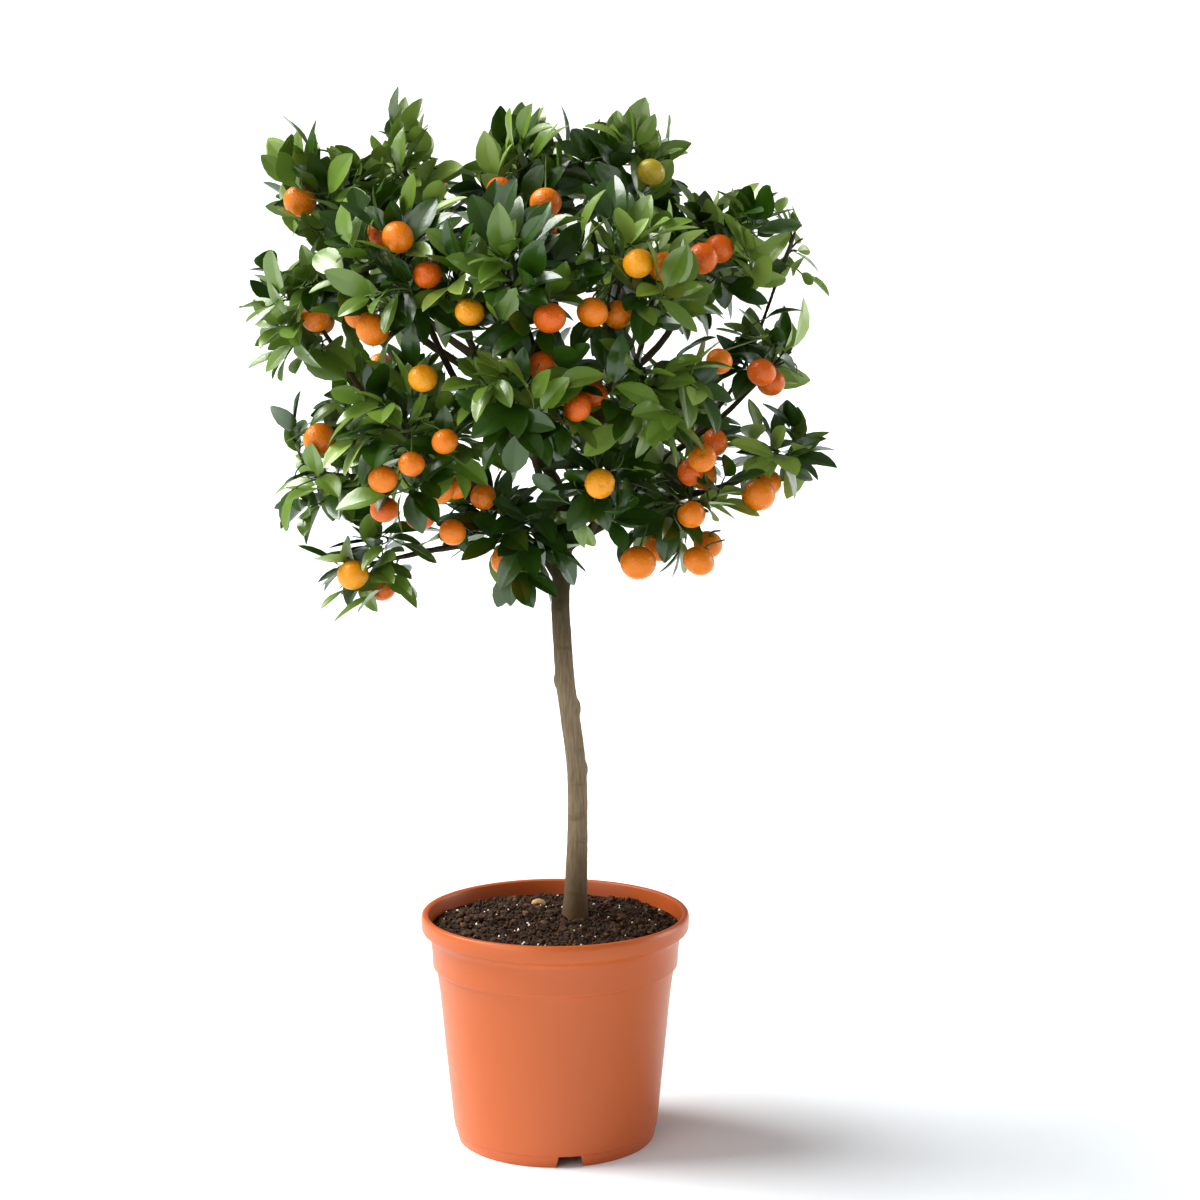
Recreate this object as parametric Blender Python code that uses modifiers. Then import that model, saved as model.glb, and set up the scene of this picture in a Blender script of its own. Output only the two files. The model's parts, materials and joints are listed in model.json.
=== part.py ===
"""Calamondin orange tree, grown as a standard in a moulded plastic nursery pot.

Metres, +Z up, +X to the right of the front, which looks towards -Y. The origin is the
centre of the pot's foot, on the surface that the pot stands on. Every piece is a solid
of its own: the pot, the soil in it, the trunk, one bough for each mass of leaves, and
the masses, in which twigs, leaves, fruit and their stalks are fused into one body.
"""
import math
import random
from dataclasses import dataclass

import bmesh
import bpy
from mathutils import Matrix, Vector
from mathutils.bvhtree import BVHTree

MM = 0.001
UP = Vector((0.0, 0.0, 1.0))
GOLDEN_ANGLE = math.pi * (3.0 - math.sqrt(5.0))
GAP = 0.3 * MM                      # between pieces that touch

# Pot: a 22 cm container with a rolled rim, a straight collar and a tapering body.
POT_SEGMENTS = 24
POT_HEIGHT = 188.5 * MM
POT_WALL = 1.8 * MM
RIM_RADIUS = 110.0 * MM
RIM_LIP = 6.0 * MM                  # width of the rim seen from above
RIM_DEPTH = 15.0 * MM               # height of the rolled rim
COLLAR_TOP_RADIUS = 102.6 * MM
COLLAR_FOOT_RADIUS = 100.6 * MM
COLLAR_FOOT = 147.0 * MM            # height at which the collar starts
BODY_TOP_RADIUS = 96.6 * MM
BODY_TOP = 137.0 * MM
BODY_FOOT_RADIUS = 83.8 * MM
FOOT_RADIUS = 81.5 * MM
FOOT_BAND = 10.0 * MM               # height of the narrower band at the foot
FOOT_WALL = 3.4 * MM
POT_FLOOR = 10.0 * MM               # underside of the raised floor
POT_FLOOR_THICK = 2.2 * MM
NOTCHES = 4                         # drain notches round the foot
NOTCH_WIDTH = 26.0 * MM             # at the surface the pot stands on
NOTCH_TOP_WIDTH = 18.0 * MM
NOTCH_HEIGHT = 9.2 * MM
NOTCH_FIRST_ANGLE = math.radians(-82.3)
DRAIN_HOLES = 6
DRAIN_HOLE_RADIUS = 6.0 * MM
DRAIN_CIRCLE = 55.0 * MM

# Soil: fills the pot to just under its rim and rises a little to the trunk.
SOIL_EDGE = 172.0 * MM
SOIL_SEAT = 181.7 * MM              # flat spot that the trunk stands on
SOIL_SEAT_RADIUS = 17.0 * MM
SOIL_LUMP = 2.6 * MM
SOIL_RINGS = 3

# Trunk: side, depth, height and radius, from the root flare to the fork.
TRUNK_LINE = (
    (16.2, 15.0, 176.0, 12.4),
    (16.4, 15.0, 186.0, 10.9),
    (17.0, 15.0, 202.0, 9.6),
    (18.4, 15.5, 253.0, 8.5),
    (17.8, 16.0, 303.0, 8.2),
    (12.4, 16.0, 348.0, 8.1),
    (8.4, 16.0, 378.0, 8.0),
    (6.2, 16.0, 412.0, 7.8),
    (4.8, 16.0, 437.0, 7.6),
    (5.6, 16.0, 462.0, 7.6),
    (7.5, 16.0, 489.0, 7.3),
)
GROUND = SOIL_SEAT + GAP            # the flat cut under the trunk
# Pruning scars: share of the trunk's height, turn round it, radius.
TRUNK_KNOTS = ((0.63, 175.0, 4.6), (0.55, -60.0, 3.8), (0.83, -110.0, 3.6), (0.12, 20.0, 4.2))

# Limbs, twigs and leaves.
BOUGH_TIP_RADIUS = 2.3 * MM
BOUGH_STEPS = 1                     # straight lengths between two bends
STEM_RADIUS = 2.9 * MM              # a twig's corners; its three sides lie half as far out
STEM_TIP_RADIUS = 2.5 * MM
SHOOT_RADIUS = 1.3 * MM
SHOOT_TIP_RADIUS = 1.15 * MM
STALK_RADIUS = 0.55 * MM            # where a fruit's stalk leaves its twig
STALK_END_RADIUS = 1.25 * MM        # where it enters the fruit
LEAF_LENGTH = 60.0 * MM
LEAF_WIDTH = 0.50                   # share of the length
LEAF_WIDEST = 0.52                  # place of the widest point, as a share of the length
LEAF_KEEL = 1.5 * MM                # depth of the midrib, deepest near the root
LEAF_KEEL_PLACE = 0.2               # where it is deepest, as a share of the length
LEAF_DROOP = 0.06                   # fall of the tip, as a share of the length
LEAF_SUNK = 0.7 * MM                # the root's depth past the middle of its twig
LEAF_SPACING = 6.5 * MM             # between the roots of two leaves on one shoot
FLAT_ANGLE = math.radians(5.0)      # faces that bend less than this are made one
FRUIT_FLAT = 0.92                   # height over width
FRUIT_TILT = math.radians(24.0)     # turns a flat facet up, for the stalk to enter
FRUIT_IN_VIEW = 0.8                 # share of a fruit's radius that leaves stay out of
STALK_LIFTS = (0.7, 0.3, 0.0, -0.4)  # how far a stalk enters its fruit from above

# How a bough runs from its parent to its mass where no bends are given.
BOUGH_BEND = 0.42                   # place of its bend, as a share of its length
BOUGH_OUT = 0.10                    # how far it swings outwards, as a share of its length
BOUGH_SAG = 0.07                    # how far it sags, as a share of its length
BOUGH_END = 0.62                    # its end's distance from its mass's middle, of the reach

# How a mass grows: shares of its reach or of a twig's length where no unit is given.
BOW = 0.45                          # length over which a shoot keeps its first heading
STEM_SHIFT = 16.0 * MM              # how far a stem turns aside from a limb in its way
STEM_CLEAR = 3.5 * MM
STEM_TRIES = 40
SHOOT_REACH = (0.62, 0.86)
SHOOT_SPREAD = 26.0 * MM            # between the ends of two shoots
SHOOT_ROOTS = (0.30, 0.96)          # the stretch of the stem that bears shoots
SHOOT_CLEAR = 2.2 * MM
BEHIND = 0.35                       # no shoot points back to its bough more than this
STALK_ROOTS = (0.25, 0.4, 0.55, 0.7, 0.85)
STALK_CLEAR = 1.2 * MM
STALK_BEND = 14.0 * MM              # how far a stalk's knee lies aside
STALK_KNEES = 12                    # knees tried from each root
STALK_DEPTH = 0.7                   # where a stalk ends, of the fruit's radius
STALK_DOOR = 1.5 * MM               # it aims at a spot this far outside the fruit
LEAF_PLACES = 8                     # on one shoot
LEAF_TURNS = 10                     # turns tried before a leaf is left out
LEAF_TURN = 0.63                    # radians between two of them
LEAF_SIZES = (0.84, 1.12)
END_LEAF_LEAN = math.radians(22.0)  # between the shoot and a leaf at its end
SIDE_LEAF_LEAN = math.radians(50.0)
LEAF_OUT = 0.30                     # how much a leaf turns away from the mass's middle
LEAF_RISE = 0.16                    # how much it turns up
LEAF_FACING = (0.8, 0.55, 0.25)     # its upper side looks up, outwards and along the shoot
FIRST_LEAF = 3.0 * MM               # from the end of its shoot
LEAF_STAYS_ABOVE = 0.2              # no leaf grows nearer to the shoot's root than this
SPACE_MARGIN = 0.6 * MM             # kept to the boundary with the next mass
CLEAR_OF_LIMBS = 0.8 * MM
CROWN_LOW = Vector((-0.240, -0.221, 0.425))
CROWN_HIGH = Vector((0.240, 0.221, 0.853))

# A viewer in front sees sky through these gaps: side, height, half-width, half-height.
VIEWPOINT = Vector((0.0, -1.875, 0.688))
GAPS = (
    (102.0, 660.0, 24.0, 15.0),
    (-163.0, 607.0, 10.0, 12.0),
    (-172.0, 578.0, 11.0, 12.0),
    (-12.0, 528.0, 13.0, 15.0),
    (60.0, 500.0, 17.0, 9.0),
    (-76.0, 778.0, 10.0, 18.0),
    (-118.0, 716.0, 8.0, 8.0),
    (150.0, 690.0, 9.0, 12.0),
    (150.0, 590.0, 9.0, 10.0),
)
# The bays in the crown's outline, in the same way.
BAYS = (
    (-155.0, 842.0, 12.0, 42.0),
    (-77.0, 845.0, 17.0, 50.0),
    (29.0, 847.0, 10.0, 26.0),
    (143.0, 834.0, 30.0, 58.0),
    (106.0, 848.0, 22.0, 25.0),
    (212.0, 755.0, 18.0, 31.0),
    (219.0, 609.0, 21.0, 19.0),
    (198.0, 478.0, 50.0, 39.0),
    (-236.0, 743.0, 19.0, 14.0),
    (-236.0, 838.0, 20.0, 31.0),
    (-225.0, 570.0, 19.0, 11.0),
    (-222.0, 453.0, 34.0, 37.0),
    (-80.0, 436.0, 27.0, 37.0),
    (46.0, 419.0, 31.0, 39.0),
    (95.0, 419.0, 47.0, 40.0),
)


@dataclass(frozen=True)
class Mass:
    """One mass of leaves and the bough that carries it. Lengths are in millimetres."""

    name: str
    centre: tuple                   # side, depth, height
    reach: tuple                    # half-width, half-depth, half-height
    parent: str                     # limb that the bough leaves
    along: float                    # share of that limb's length
    bends: tuple = ()               # places that the bough passes
    base: float = 3.6               # radius where it leaves
    shoots: int = 5
    leaves: int = 14
    tips: tuple = ()                # ends of the shoots that shape the crown's outline
    fruit: tuple = ()               # side, depth and height from the centre, and radius
    seed: int = 1


MASSES = (
    Mass("top_right", (64, 0, 790), (54, 58, 56), "trunk", 0.995,
         bends=((13, 14, 512), (27, 10, 545), (34, 4, 620), (48, 2, 700)), base=6.6,
         tips=((-5, 0, 52), (27, -10, 22), (-20, 10, 38)),
         fruit=((11, -48, -7, 11), (10, -22, 19, 10.3))),
    Mass("top_left", (-120, 20, 793), (48, 58, 56), "trunk", 0.965,
         bends=((3, 14, 536), (-18, 12, 563), (-38, 14, 592), (-84, 18, 690)), base=5.2,
         tips=((0, -18, 58), (-14, -10, 44), (-44, 0, 4)),
         fruit=((22, 48, -16, 12),)),
    Mass("right_low", (185, 0, 560), (50, 56, 48), "trunk", 0.985,
         bends=((40, 10, 506), (64, 6, 512), (88, 3, 525), (136, 0, 537)), base=4.8,
         tips=((44, 10, 12), (42, -10, -6), (24, -20, -26)),
         fruit=((-24, -34, -27, 13.6), (-12, 26, -22, 12))),
    Mass("left_low", (-182, 0, 548), (50, 55, 44), "trunk", 0.93,
         bends=((-20, 10, 515), (-62, 6, 530), (-112, 2, 540)), base=4.6,
         tips=((-46, -5, 4), (-44, 0, -28), (-38, -25, 42)),
         fruit=((-1, -42, 30, 13.4),)),
    Mass("back_centre_low", (-18, 162, 600), (60, 48, 56), "trunk", 0.95,
         bends=((2, 48, 530), (-6, 84, 556)), base=4.6,
         tips=((0, 50, 0), (-30, 40, -30)),
         fruit=((24, 34, -22, 12), (-8, 36, 30, 12.5))),
    Mass("lowest_left", (-145, -20, 478), (42, 44, 36), "trunk", 0.90,
         bends=((-22, 10, 494), (-58, 0, 492), (-92, -8, 488)), base=3.8,
         tips=((-18, 0, -44), (-34, 0, 8), (22, 0, -34)),
         fruit=((-13, -28, -6, 12.6), (8, 6, -21, 11))),
    Mass("right_mid", (178, 0, 636), (52, 58, 44), "right_low", 0.14,
         bends=((58, 14, 536), (108, 10, 572), (136, 6, 594)), base=4.2,
         tips=((46, 10, 24), (48, 0, -6), (40, -10, 40)),
         fruit=((-51, -68, 3, 10.5), (-17, -52, -6, 11.5), (-7, -24, -15, 11.2))),
    Mass("upper_left", (-184, 0, 762), (54, 60, 56), "top_left", 0.52,
         tips=((-30, 0, 58), (-50, -10, 44), (-2, -10, 60), (-48, 0, 4)),
         fruit=((-13, -25, 0, 13),)),
    Mass("top_centre", (-26, 0, 788), (54, 60, 56), "top_left", 0.42,
         tips=((0, 0, 52), (18, -10, 52), (-30, -10, 34), (38, 10, 40)),
         fruit=((20, -70, -29, 12.3), (-15, -48, -19, 11))),
    Mass("right_upper", (130, 0, 730), (50, 58, 50), "top_right", 0.46,
         tips=((44, -5, 38), (10, 0, 44)),
         fruit=((-17, -72, -13, 12), (-2, -42, -5, 11.7), (14, 44, -8, 12))),
    Mass("right_shoot", (192, 34, 732), (28, 30, 48), "right_mid", 0.62,
         tips=((0, 4, 46), (-12, 4, 40), (46, 26, -12), (6, 4, 24))),
    Mass("left", (-194, -20, 680), (46, 58, 48), "left_low", 0.42,
         tips=((-44, -4, 16), (-40, 0, -16), (-36, 8, 44)),
         fruit=((11, -38, -8, 11.5), (6, 46, -12, 12))),
    Mass("low_right", (107, -30, 526), (54, 50, 44), "right_low", 0.46,
         tips=((-20, -10, -34), (30, -20, -34)),
         fruit=((6, -58, 40, 11), (-1, -28, 27, 11), (10, -6, 22, 11), (19, -10, 49, 11),
                (-1, -40, -5, 11.2), (-42, -36, -43, 14.2), (-24, -6, -34, 12.6),
                (6, -24, -43, 12.8), (15, 4, -33, 11.8))),
    Mass("low_centre_left", (-44, -34, 500), (56, 56, 46), "lowest_left", 0.28,
         tips=((0, 10, -60), (28, 20, -40)),
         fruit=((-34, -50, 9, 10.5), (-11, -34, 35, 10.5), (7, -16, -16, 13.2))),
    Mass("front_left_up", (-112, -118, 708), (56, 50, 56), "top_left", 0.34,
         fruit=((-1, -34, 23, 12), (-15, -4, 27, 11.2), (20, -32, -4, 10.6), (-34, 20, -34, 11.4),
                (-22, -10, -44, 12.7))),
    Mass("front_centre_up", (-32, -150, 700), (54, 46, 56), "top_right", 0.36,
         tips=((0, -52, 0),),
         fruit=((-29, -10, -23, 11), (29, -28, -27, 12))),
    Mass("front_right_up", (50, -132, 706), (54, 48, 54), "top_right", 0.50,
         fruit=((-22, -28, -29, 11.7), (-3, -2, -31, 11.1), (-44, 34, 32, 12), (11, -36, 6, 11.4),
                (30, -10, 4, 11))),
    Mass("front_left_low", (-108, -116, 582), (58, 50, 54), "left_low", 0.30,
         fruit=((12, -34, 47, 11), (28, -40, 1, 10), (3, -34, -16, 10), (-19, -22, -28, 11.2),
                (-20, 4, -53, 11), (22, -4, -38, 11.2), (34, 24, -37, 11.2), (6, 20, -60, 11.4))),
    Mass("front_centre", (-25, -150, 616), (52, 46, 48), "top_left", 0.16,
         tips=((0, -50, 0),),
         fruit=((16, 0, 22, 11), (42, -10, -8, 11))),
    Mass("front_right", (66, -118, 622), (58, 48, 48), "right_mid", 0.34,
         fruit=((-37, -12, -5, 11.2),)),
    Mass("front_low_centre", (38, -92, 548), (46, 44, 40), "right_low", 0.12,
         fruit=((-4, -40, 2, 11.5),)),
    Mass("back_left_up", (-140, 128, 726), (62, 52, 60), "top_left", 0.60,
         fruit=((16, 42, -24, 12.5),)),
    Mass("back_centre_up", (-30, 160, 738), (58, 48, 60), "back_centre_low", 0.55,
         tips=((0, 50, 0), (10, 30, 40)),
         fruit=((14, 36, -14, 12.5),)),
    Mass("back_right_up", (92, 134, 716), (60, 52, 58), "top_right", 0.28,
         fruit=((36, 16, 20, 12.5),)),
    Mass("back_left_low", (-140, 128, 588), (60, 52, 58), "left_low", 0.22,
         fruit=((-8, 44, -8, 12.5), (-10, 40, 40, 12))),
    Mass("back_right_low", (90, 134, 574), (60, 52, 56), "right_low", 0.30,
         fruit=((6, 42, -2, 12), (36, 22, -30, 12.5))),
)


# ---------------------------------------------------------------- routes and spaces

def millimetres(place):
    """A place given in millimetres, as a vector in metres."""
    return Vector(place) * MM


def smooth_line(knots, steps):
    """Points on a smooth line through the knots, with the given steps between two of them."""
    line = [knots[0].copy()]
    last = len(knots) - 1
    for i in range(last):
        before = knots[max(i - 1, 0)]
        start = knots[i]
        end = knots[i + 1]
        after = knots[min(i + 2, last)]
        for step in range(1, steps + 1):
            t = step / steps
            line.append(0.5 * (2.0 * start + (end - before) * t
                               + (2.0 * before - 5.0 * start + 4.0 * end - after) * t ** 2
                               + (3.0 * start - before - 3.0 * end + after) * t ** 3))
    return line


def point_along(line, share):
    """The point at a share of a line's length."""
    lengths = [(b - a).length for a, b in zip(line, line[1:])]
    left = share * sum(lengths)
    for a, b, length in zip(line, line[1:], lengths):
        if left <= length:
            return a.lerp(b, left / length)
        left -= length
    return line[-1].copy()


def tapered(count, start, end):
    """Radii that fall evenly from start to end."""
    return [start + (end - start) * i / (count - 1) for i in range(count)]


class Space:
    """The space of one mass: its side of a flat boundary with every other mass."""

    def __init__(self, mass):
        self.name = mass.name
        self.centre = millimetres(mass.centre)
        self.reach = millimetres(mass.reach)
        self.walls = []
        own = mean_reach(mass) ** 2
        for other in MASSES:
            if other.name == mass.name:
                continue
            way = millimetres(other.centre) - self.centre
            apart = way.length
            edge = (apart ** 2 + own - mean_reach(other) ** 2) / (2.0 * apart)
            self.walls.append((way / apart, edge - SPACE_MARGIN))

    def holds(self, point):
        """Whether a point lies in this space and inside the crown's own box."""
        for low, value, high in zip(CROWN_LOW, point, CROWN_HIGH):
            if not low < value < high:
                return False
        way = point - self.centre
        return all(way.dot(normal) < edge for normal, edge in self.walls)


def mean_reach(mass):
    """The mean half-size of a mass, in metres."""
    return sum(mass.reach) / 3.0 * MM


def in_gap(point):
    """Whether a point would close a gap or a bay of the outline, seen from in front."""
    scale = -VIEWPOINT.y / (point.y - VIEWPOINT.y)
    side = VIEWPOINT.x + (point.x - VIEWPOINT.x) * scale
    height = VIEWPOINT.z + (point.z - VIEWPOINT.z) * scale
    for x, z, wide, tall in GAPS + BAYS:
        if ((side / MM - x) / wide) ** 2 + ((height / MM - z) / tall) ** 2 < 1.0:
            return True
    return False


def lay_out_boughs():
    """The line of every limb and its radii, worked out from its parent and its mass."""
    trunk = [millimetres(row[:3]) for row in TRUNK_LINE]
    lines = {"trunk": smooth_line(trunk, 1)}
    radii = {"trunk": [row[3] * MM for row in TRUNK_LINE]}
    for mass in MASSES:
        start = point_along(lines[mass.parent], mass.along)
        centre = millimetres(mass.centre)
        knots = [start] + [millimetres(bend) for bend in mass.bends]
        if not mass.bends:
            way = centre - start
            outward = Vector((way.x, way.y, 0.0))
            bend = start.lerp(centre, BOUGH_BEND) + BOUGH_OUT * outward
            knots.append(bend - BOUGH_SAG * way.length * UP)
        back = knots[-1] - centre
        inset = BOUGH_END * min(mean_reach(mass), back.length)
        knots.append(centre + back.normalized() * inset)
        line = smooth_line(knots, BOUGH_STEPS)
        lines[mass.name] = line
        radii[mass.name] = tapered(len(line), mass.base * MM, BOUGH_TIP_RADIUS)
    return lines, radii


# ---------------------------------------------------------------- mesh helpers

def remove_object(thing):
    """Remove an object and the mesh or curve it held."""
    data = thing.data
    bpy.data.objects.remove(thing)
    if data.users == 0:
        (bpy.data.meshes if isinstance(data, bpy.types.Mesh) else bpy.data.curves).remove(data)


def link_mesh(name, mesh, collection):
    """A new object for a mesh, in a collection."""
    thing = bpy.data.objects.new(name, mesh)
    collection.objects.link(thing)
    return thing


def evaluated_mesh(thing):
    """The mesh of an object with its modifiers applied."""
    graph = bpy.context.evaluated_depsgraph_get()
    return bpy.data.meshes.new_from_object(thing.evaluated_get(graph))


def apply_modifiers(thing):
    """Replace an object's mesh by what its modifiers make of it."""
    mesh = evaluated_mesh(thing)
    old = thing.data
    thing.modifiers.clear()
    thing.data = mesh
    bpy.data.meshes.remove(old)


def weld(mesh, distance=1e-6):
    """Join doubled corners, turn the faces outwards and split them into flat ones."""
    form = bmesh.new()
    form.from_mesh(mesh)
    bmesh.ops.remove_doubles(form, verts=form.verts, dist=distance)
    bmesh.ops.recalc_face_normals(form, faces=form.faces)
    bmesh.ops.triangulate(form, faces=form.faces)
    form.to_mesh(mesh)
    form.free()


def tube(name, line, radii, collection, resolution=None):
    """A tapering tube with closed ends: round, or three-sided when no resolution is given."""
    curve = bpy.data.curves.new(name, "CURVE")
    curve.dimensions = "3D"
    curve.use_fill_caps = True
    if resolution is None:
        curve.bevel_mode = "OBJECT"
        curve.bevel_object = bpy.data.objects["three_sided_section"]
    else:
        curve.bevel_depth = 1.0
        curve.bevel_resolution = resolution
    spline = curve.splines.new("POLY")
    spline.points.add(len(line) - 1)
    for point, place, radius in zip(spline.points, line, radii):
        point.co = (*place, 1.0)
        point.radius = radius
    holder = bpy.data.objects.new(name, curve)
    collection.objects.link(holder)
    mesh = evaluated_mesh(holder)
    remove_object(holder)
    mesh.name = name
    weld(mesh)
    return link_mesh(name, mesh, collection)


def three_sided_section(collection):
    """The outline of a twig: a flat triangle, one unit from its middle to each corner."""
    curve = bpy.data.curves.new("three_sided_section", "CURVE")
    curve.dimensions = "2D"
    spline = curve.splines.new("POLY")
    spline.points.add(2)
    spline.use_cyclic_u = True
    for i, point in enumerate(spline.points):
        turn = math.tau * i / 3.0
        point.co = (math.cos(turn), math.sin(turn), 0.0, 1.0)
    section = bpy.data.objects.new("three_sided_section", curve)
    section.hide_render = True
    section.display_type = "WIRE"
    collection.objects.link(section)
    return section


def boolean(thing, operation, operand):
    """Cut or join an object with another object or with a whole collection."""
    modifier = thing.modifiers.new(operation.title(), "BOOLEAN")
    modifier.operation = operation
    modifier.solver = "EXACT"
    if isinstance(operand, bpy.types.Collection):
        modifier.operand_type = "COLLECTION"
        modifier.collection = operand
    else:
        modifier.object = operand
    return modifier


def keep_largest_body(mesh):
    """Keep the largest body: a loose scrap goes, and so does the wall of a sealed hollow."""
    form = bmesh.new()
    form.from_mesh(mesh)
    left = set(form.verts)
    bodies = []
    while left:
        stack = [left.pop()]
        body = list(stack)
        while stack:
            for edge in stack.pop().link_edges:
                for corner in edge.verts:
                    if corner in left:
                        left.remove(corner)
                        body.append(corner)
                        stack.append(corner)
        bodies.append(body)
    bodies.sort(key=len)
    scraps = [corner for body in bodies[:-1] for corner in body]
    bmesh.ops.delete(form, geom=scraps, context="VERTS")
    form.to_mesh(mesh)
    form.free()


def make_flat_faces_whole(mesh):
    """Join faces that lie in one plane, where the body stays closed, and split them anew."""
    form = bmesh.new()
    form.from_mesh(mesh)
    bmesh.ops.dissolve_limit(form, angle_limit=FLAT_ANGLE, verts=form.verts, edges=form.edges)
    bmesh.ops.triangulate(form, faces=form.faces)
    if closed(form):
        form.to_mesh(mesh)
    form.free()


def closed(form):
    """Whether every edge of a form has a face on either side."""
    return all(len(edge.link_faces) == 2 for edge in form.edges)


def shade_round(mesh, angle):
    """Shade a mesh smooth except over edges sharper than the angle, in degrees."""
    mesh.shade_smooth()
    mesh.set_sharp_from_angle(angle=math.radians(angle))


def finish(name, colour, roughness):
    """A plain Principled material."""
    material = bpy.data.materials.new(name)
    material.use_nodes = True
    shader = material.node_tree.nodes["Principled BSDF"]
    shader.inputs["Base Color"].default_value = (*colour, 1.0)
    shader.inputs["Roughness"].default_value = roughness
    shader.inputs["Metallic"].default_value = 0.0
    return material


# ---------------------------------------------------------------- pot and soil

def pot_outline():
    """Half the pot's section: up inside from the floor's middle, over the rim and down."""
    floor_top = POT_FLOOR + POT_FLOOR_THICK
    rim_foot = POT_HEIGHT - RIM_DEPTH
    inner_collar = COLLAR_TOP_RADIUS - POT_WALL
    return (
        (0.0, floor_top),
        (BODY_FOOT_RADIUS - POT_WALL, floor_top),
        (BODY_TOP_RADIUS - POT_WALL, BODY_TOP),
        (COLLAR_FOOT_RADIUS - POT_WALL, COLLAR_FOOT),
        (inner_collar, rim_foot - 4.0 * MM),
        (RIM_RADIUS - RIM_LIP - 0.8 * MM, POT_HEIGHT - 2.0 * MM),
        (RIM_RADIUS - RIM_LIP + 0.8 * MM, POT_HEIGHT),
        (RIM_RADIUS - 2.0 * MM, POT_HEIGHT),
        (RIM_RADIUS, POT_HEIGHT - 4.0 * MM),
        (RIM_RADIUS - 0.6 * MM, rim_foot + 3.0 * MM),
        (RIM_RADIUS - 2.6 * MM, rim_foot),
        (COLLAR_TOP_RADIUS, rim_foot - 5.0 * MM),
        (COLLAR_FOOT_RADIUS, COLLAR_FOOT),
        (BODY_TOP_RADIUS, BODY_TOP),
        (BODY_FOOT_RADIUS, FOOT_BAND),
        (FOOT_RADIUS + 1.2 * MM, FOOT_BAND - 1.2 * MM),
        (FOOT_RADIUS, 0.0),
        (FOOT_RADIUS - FOOT_WALL, 0.0),
        (FOOT_RADIUS - FOOT_WALL, POT_FLOOR),
        (0.0, POT_FLOOR),
    )


def notch_cutters(collection):
    """Wedges that cut the drain notches through the foot, and pins for the drain holes."""
    cutters = []
    for i in range(NOTCHES):
        form = bmesh.new()
        bmesh.ops.create_cube(form, size=1.0)
        for corner in form.verts:
            low = corner.co.z < 0.0
            width = NOTCH_WIDTH if low else NOTCH_TOP_WIDTH
            corner.co.x = 4.0 * FOOT_WALL * corner.co.x
            corner.co.y = width * corner.co.y
            corner.co.z = -1.0 * MM if low else NOTCH_HEIGHT
        turn = NOTCH_FIRST_ANGLE + math.tau * i / NOTCHES
        place = Matrix.Rotation(turn, 4, "Z") @ Matrix.Translation((FOOT_RADIUS, 0.0, 0.0))
        bmesh.ops.transform(form, matrix=place, verts=form.verts)
        cutters.append(cutter(f"drain_notch_{i + 1}", form, collection))
    for i in range(DRAIN_HOLES):
        form = bmesh.new()
        bmesh.ops.create_cone(form, cap_ends=True, segments=10, radius1=DRAIN_HOLE_RADIUS,
                              radius2=DRAIN_HOLE_RADIUS, depth=4.0 * POT_FLOOR_THICK)
        turn = NOTCH_FIRST_ANGLE + math.tau * (i + 0.5) / DRAIN_HOLES
        middle = POT_FLOOR + POT_FLOOR_THICK / 2.0
        place = Matrix.Rotation(turn, 4, "Z") @ Matrix.Translation((DRAIN_CIRCLE, 0.0, middle))
        bmesh.ops.transform(form, matrix=place, verts=form.verts)
        cutters.append(cutter(f"drain_hole_{i + 1}", form, collection))
    return cutters


def cutter(name, form, collection):
    """A cutter object from a finished form."""
    mesh = bpy.data.meshes.new(name)
    form.to_mesh(mesh)
    form.free()
    thing = link_mesh(name, mesh, collection)
    thing.hide_render = True
    thing.display_type = "WIRE"
    return thing


def make_pot(parts, cutters):
    """The pot: its section turned round the axis, with notches and holes cut at the foot."""
    outline = pot_outline()
    mesh = bpy.data.meshes.new("pot")
    edges = [(i, i + 1) for i in range(len(outline) - 1)]
    mesh.from_pydata([(r, 0.0, z) for r, z in outline], edges, [])
    pot = link_mesh("pot", mesh, parts)
    screw = pot.modifiers.new("Turn", "SCREW")
    screw.steps = POT_SEGMENTS
    screw.render_steps = POT_SEGMENTS
    screw.use_merge_vertices = True
    screw.merge_threshold = 1e-6
    screw.use_smooth_shade = True
    for tool in notch_cutters(cutters):
        boolean(pot, "DIFFERENCE", tool)
    pot.data.materials.append(finish("moulded_terracotta_plastic", (0.60, 0.16, 0.055), 0.5))
    return pot


def inner_radius(height):
    """The pot's inner radius at a height between its floor and its rim."""
    inside = pot_outline()[1:6]
    for (low_r, low_z), (high_r, high_z) in zip(inside, inside[1:]):
        if height <= high_z:
            return low_r + (high_r - low_r) * (height - low_z) / (high_z - low_z)
    return inside[-1][0]


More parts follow.
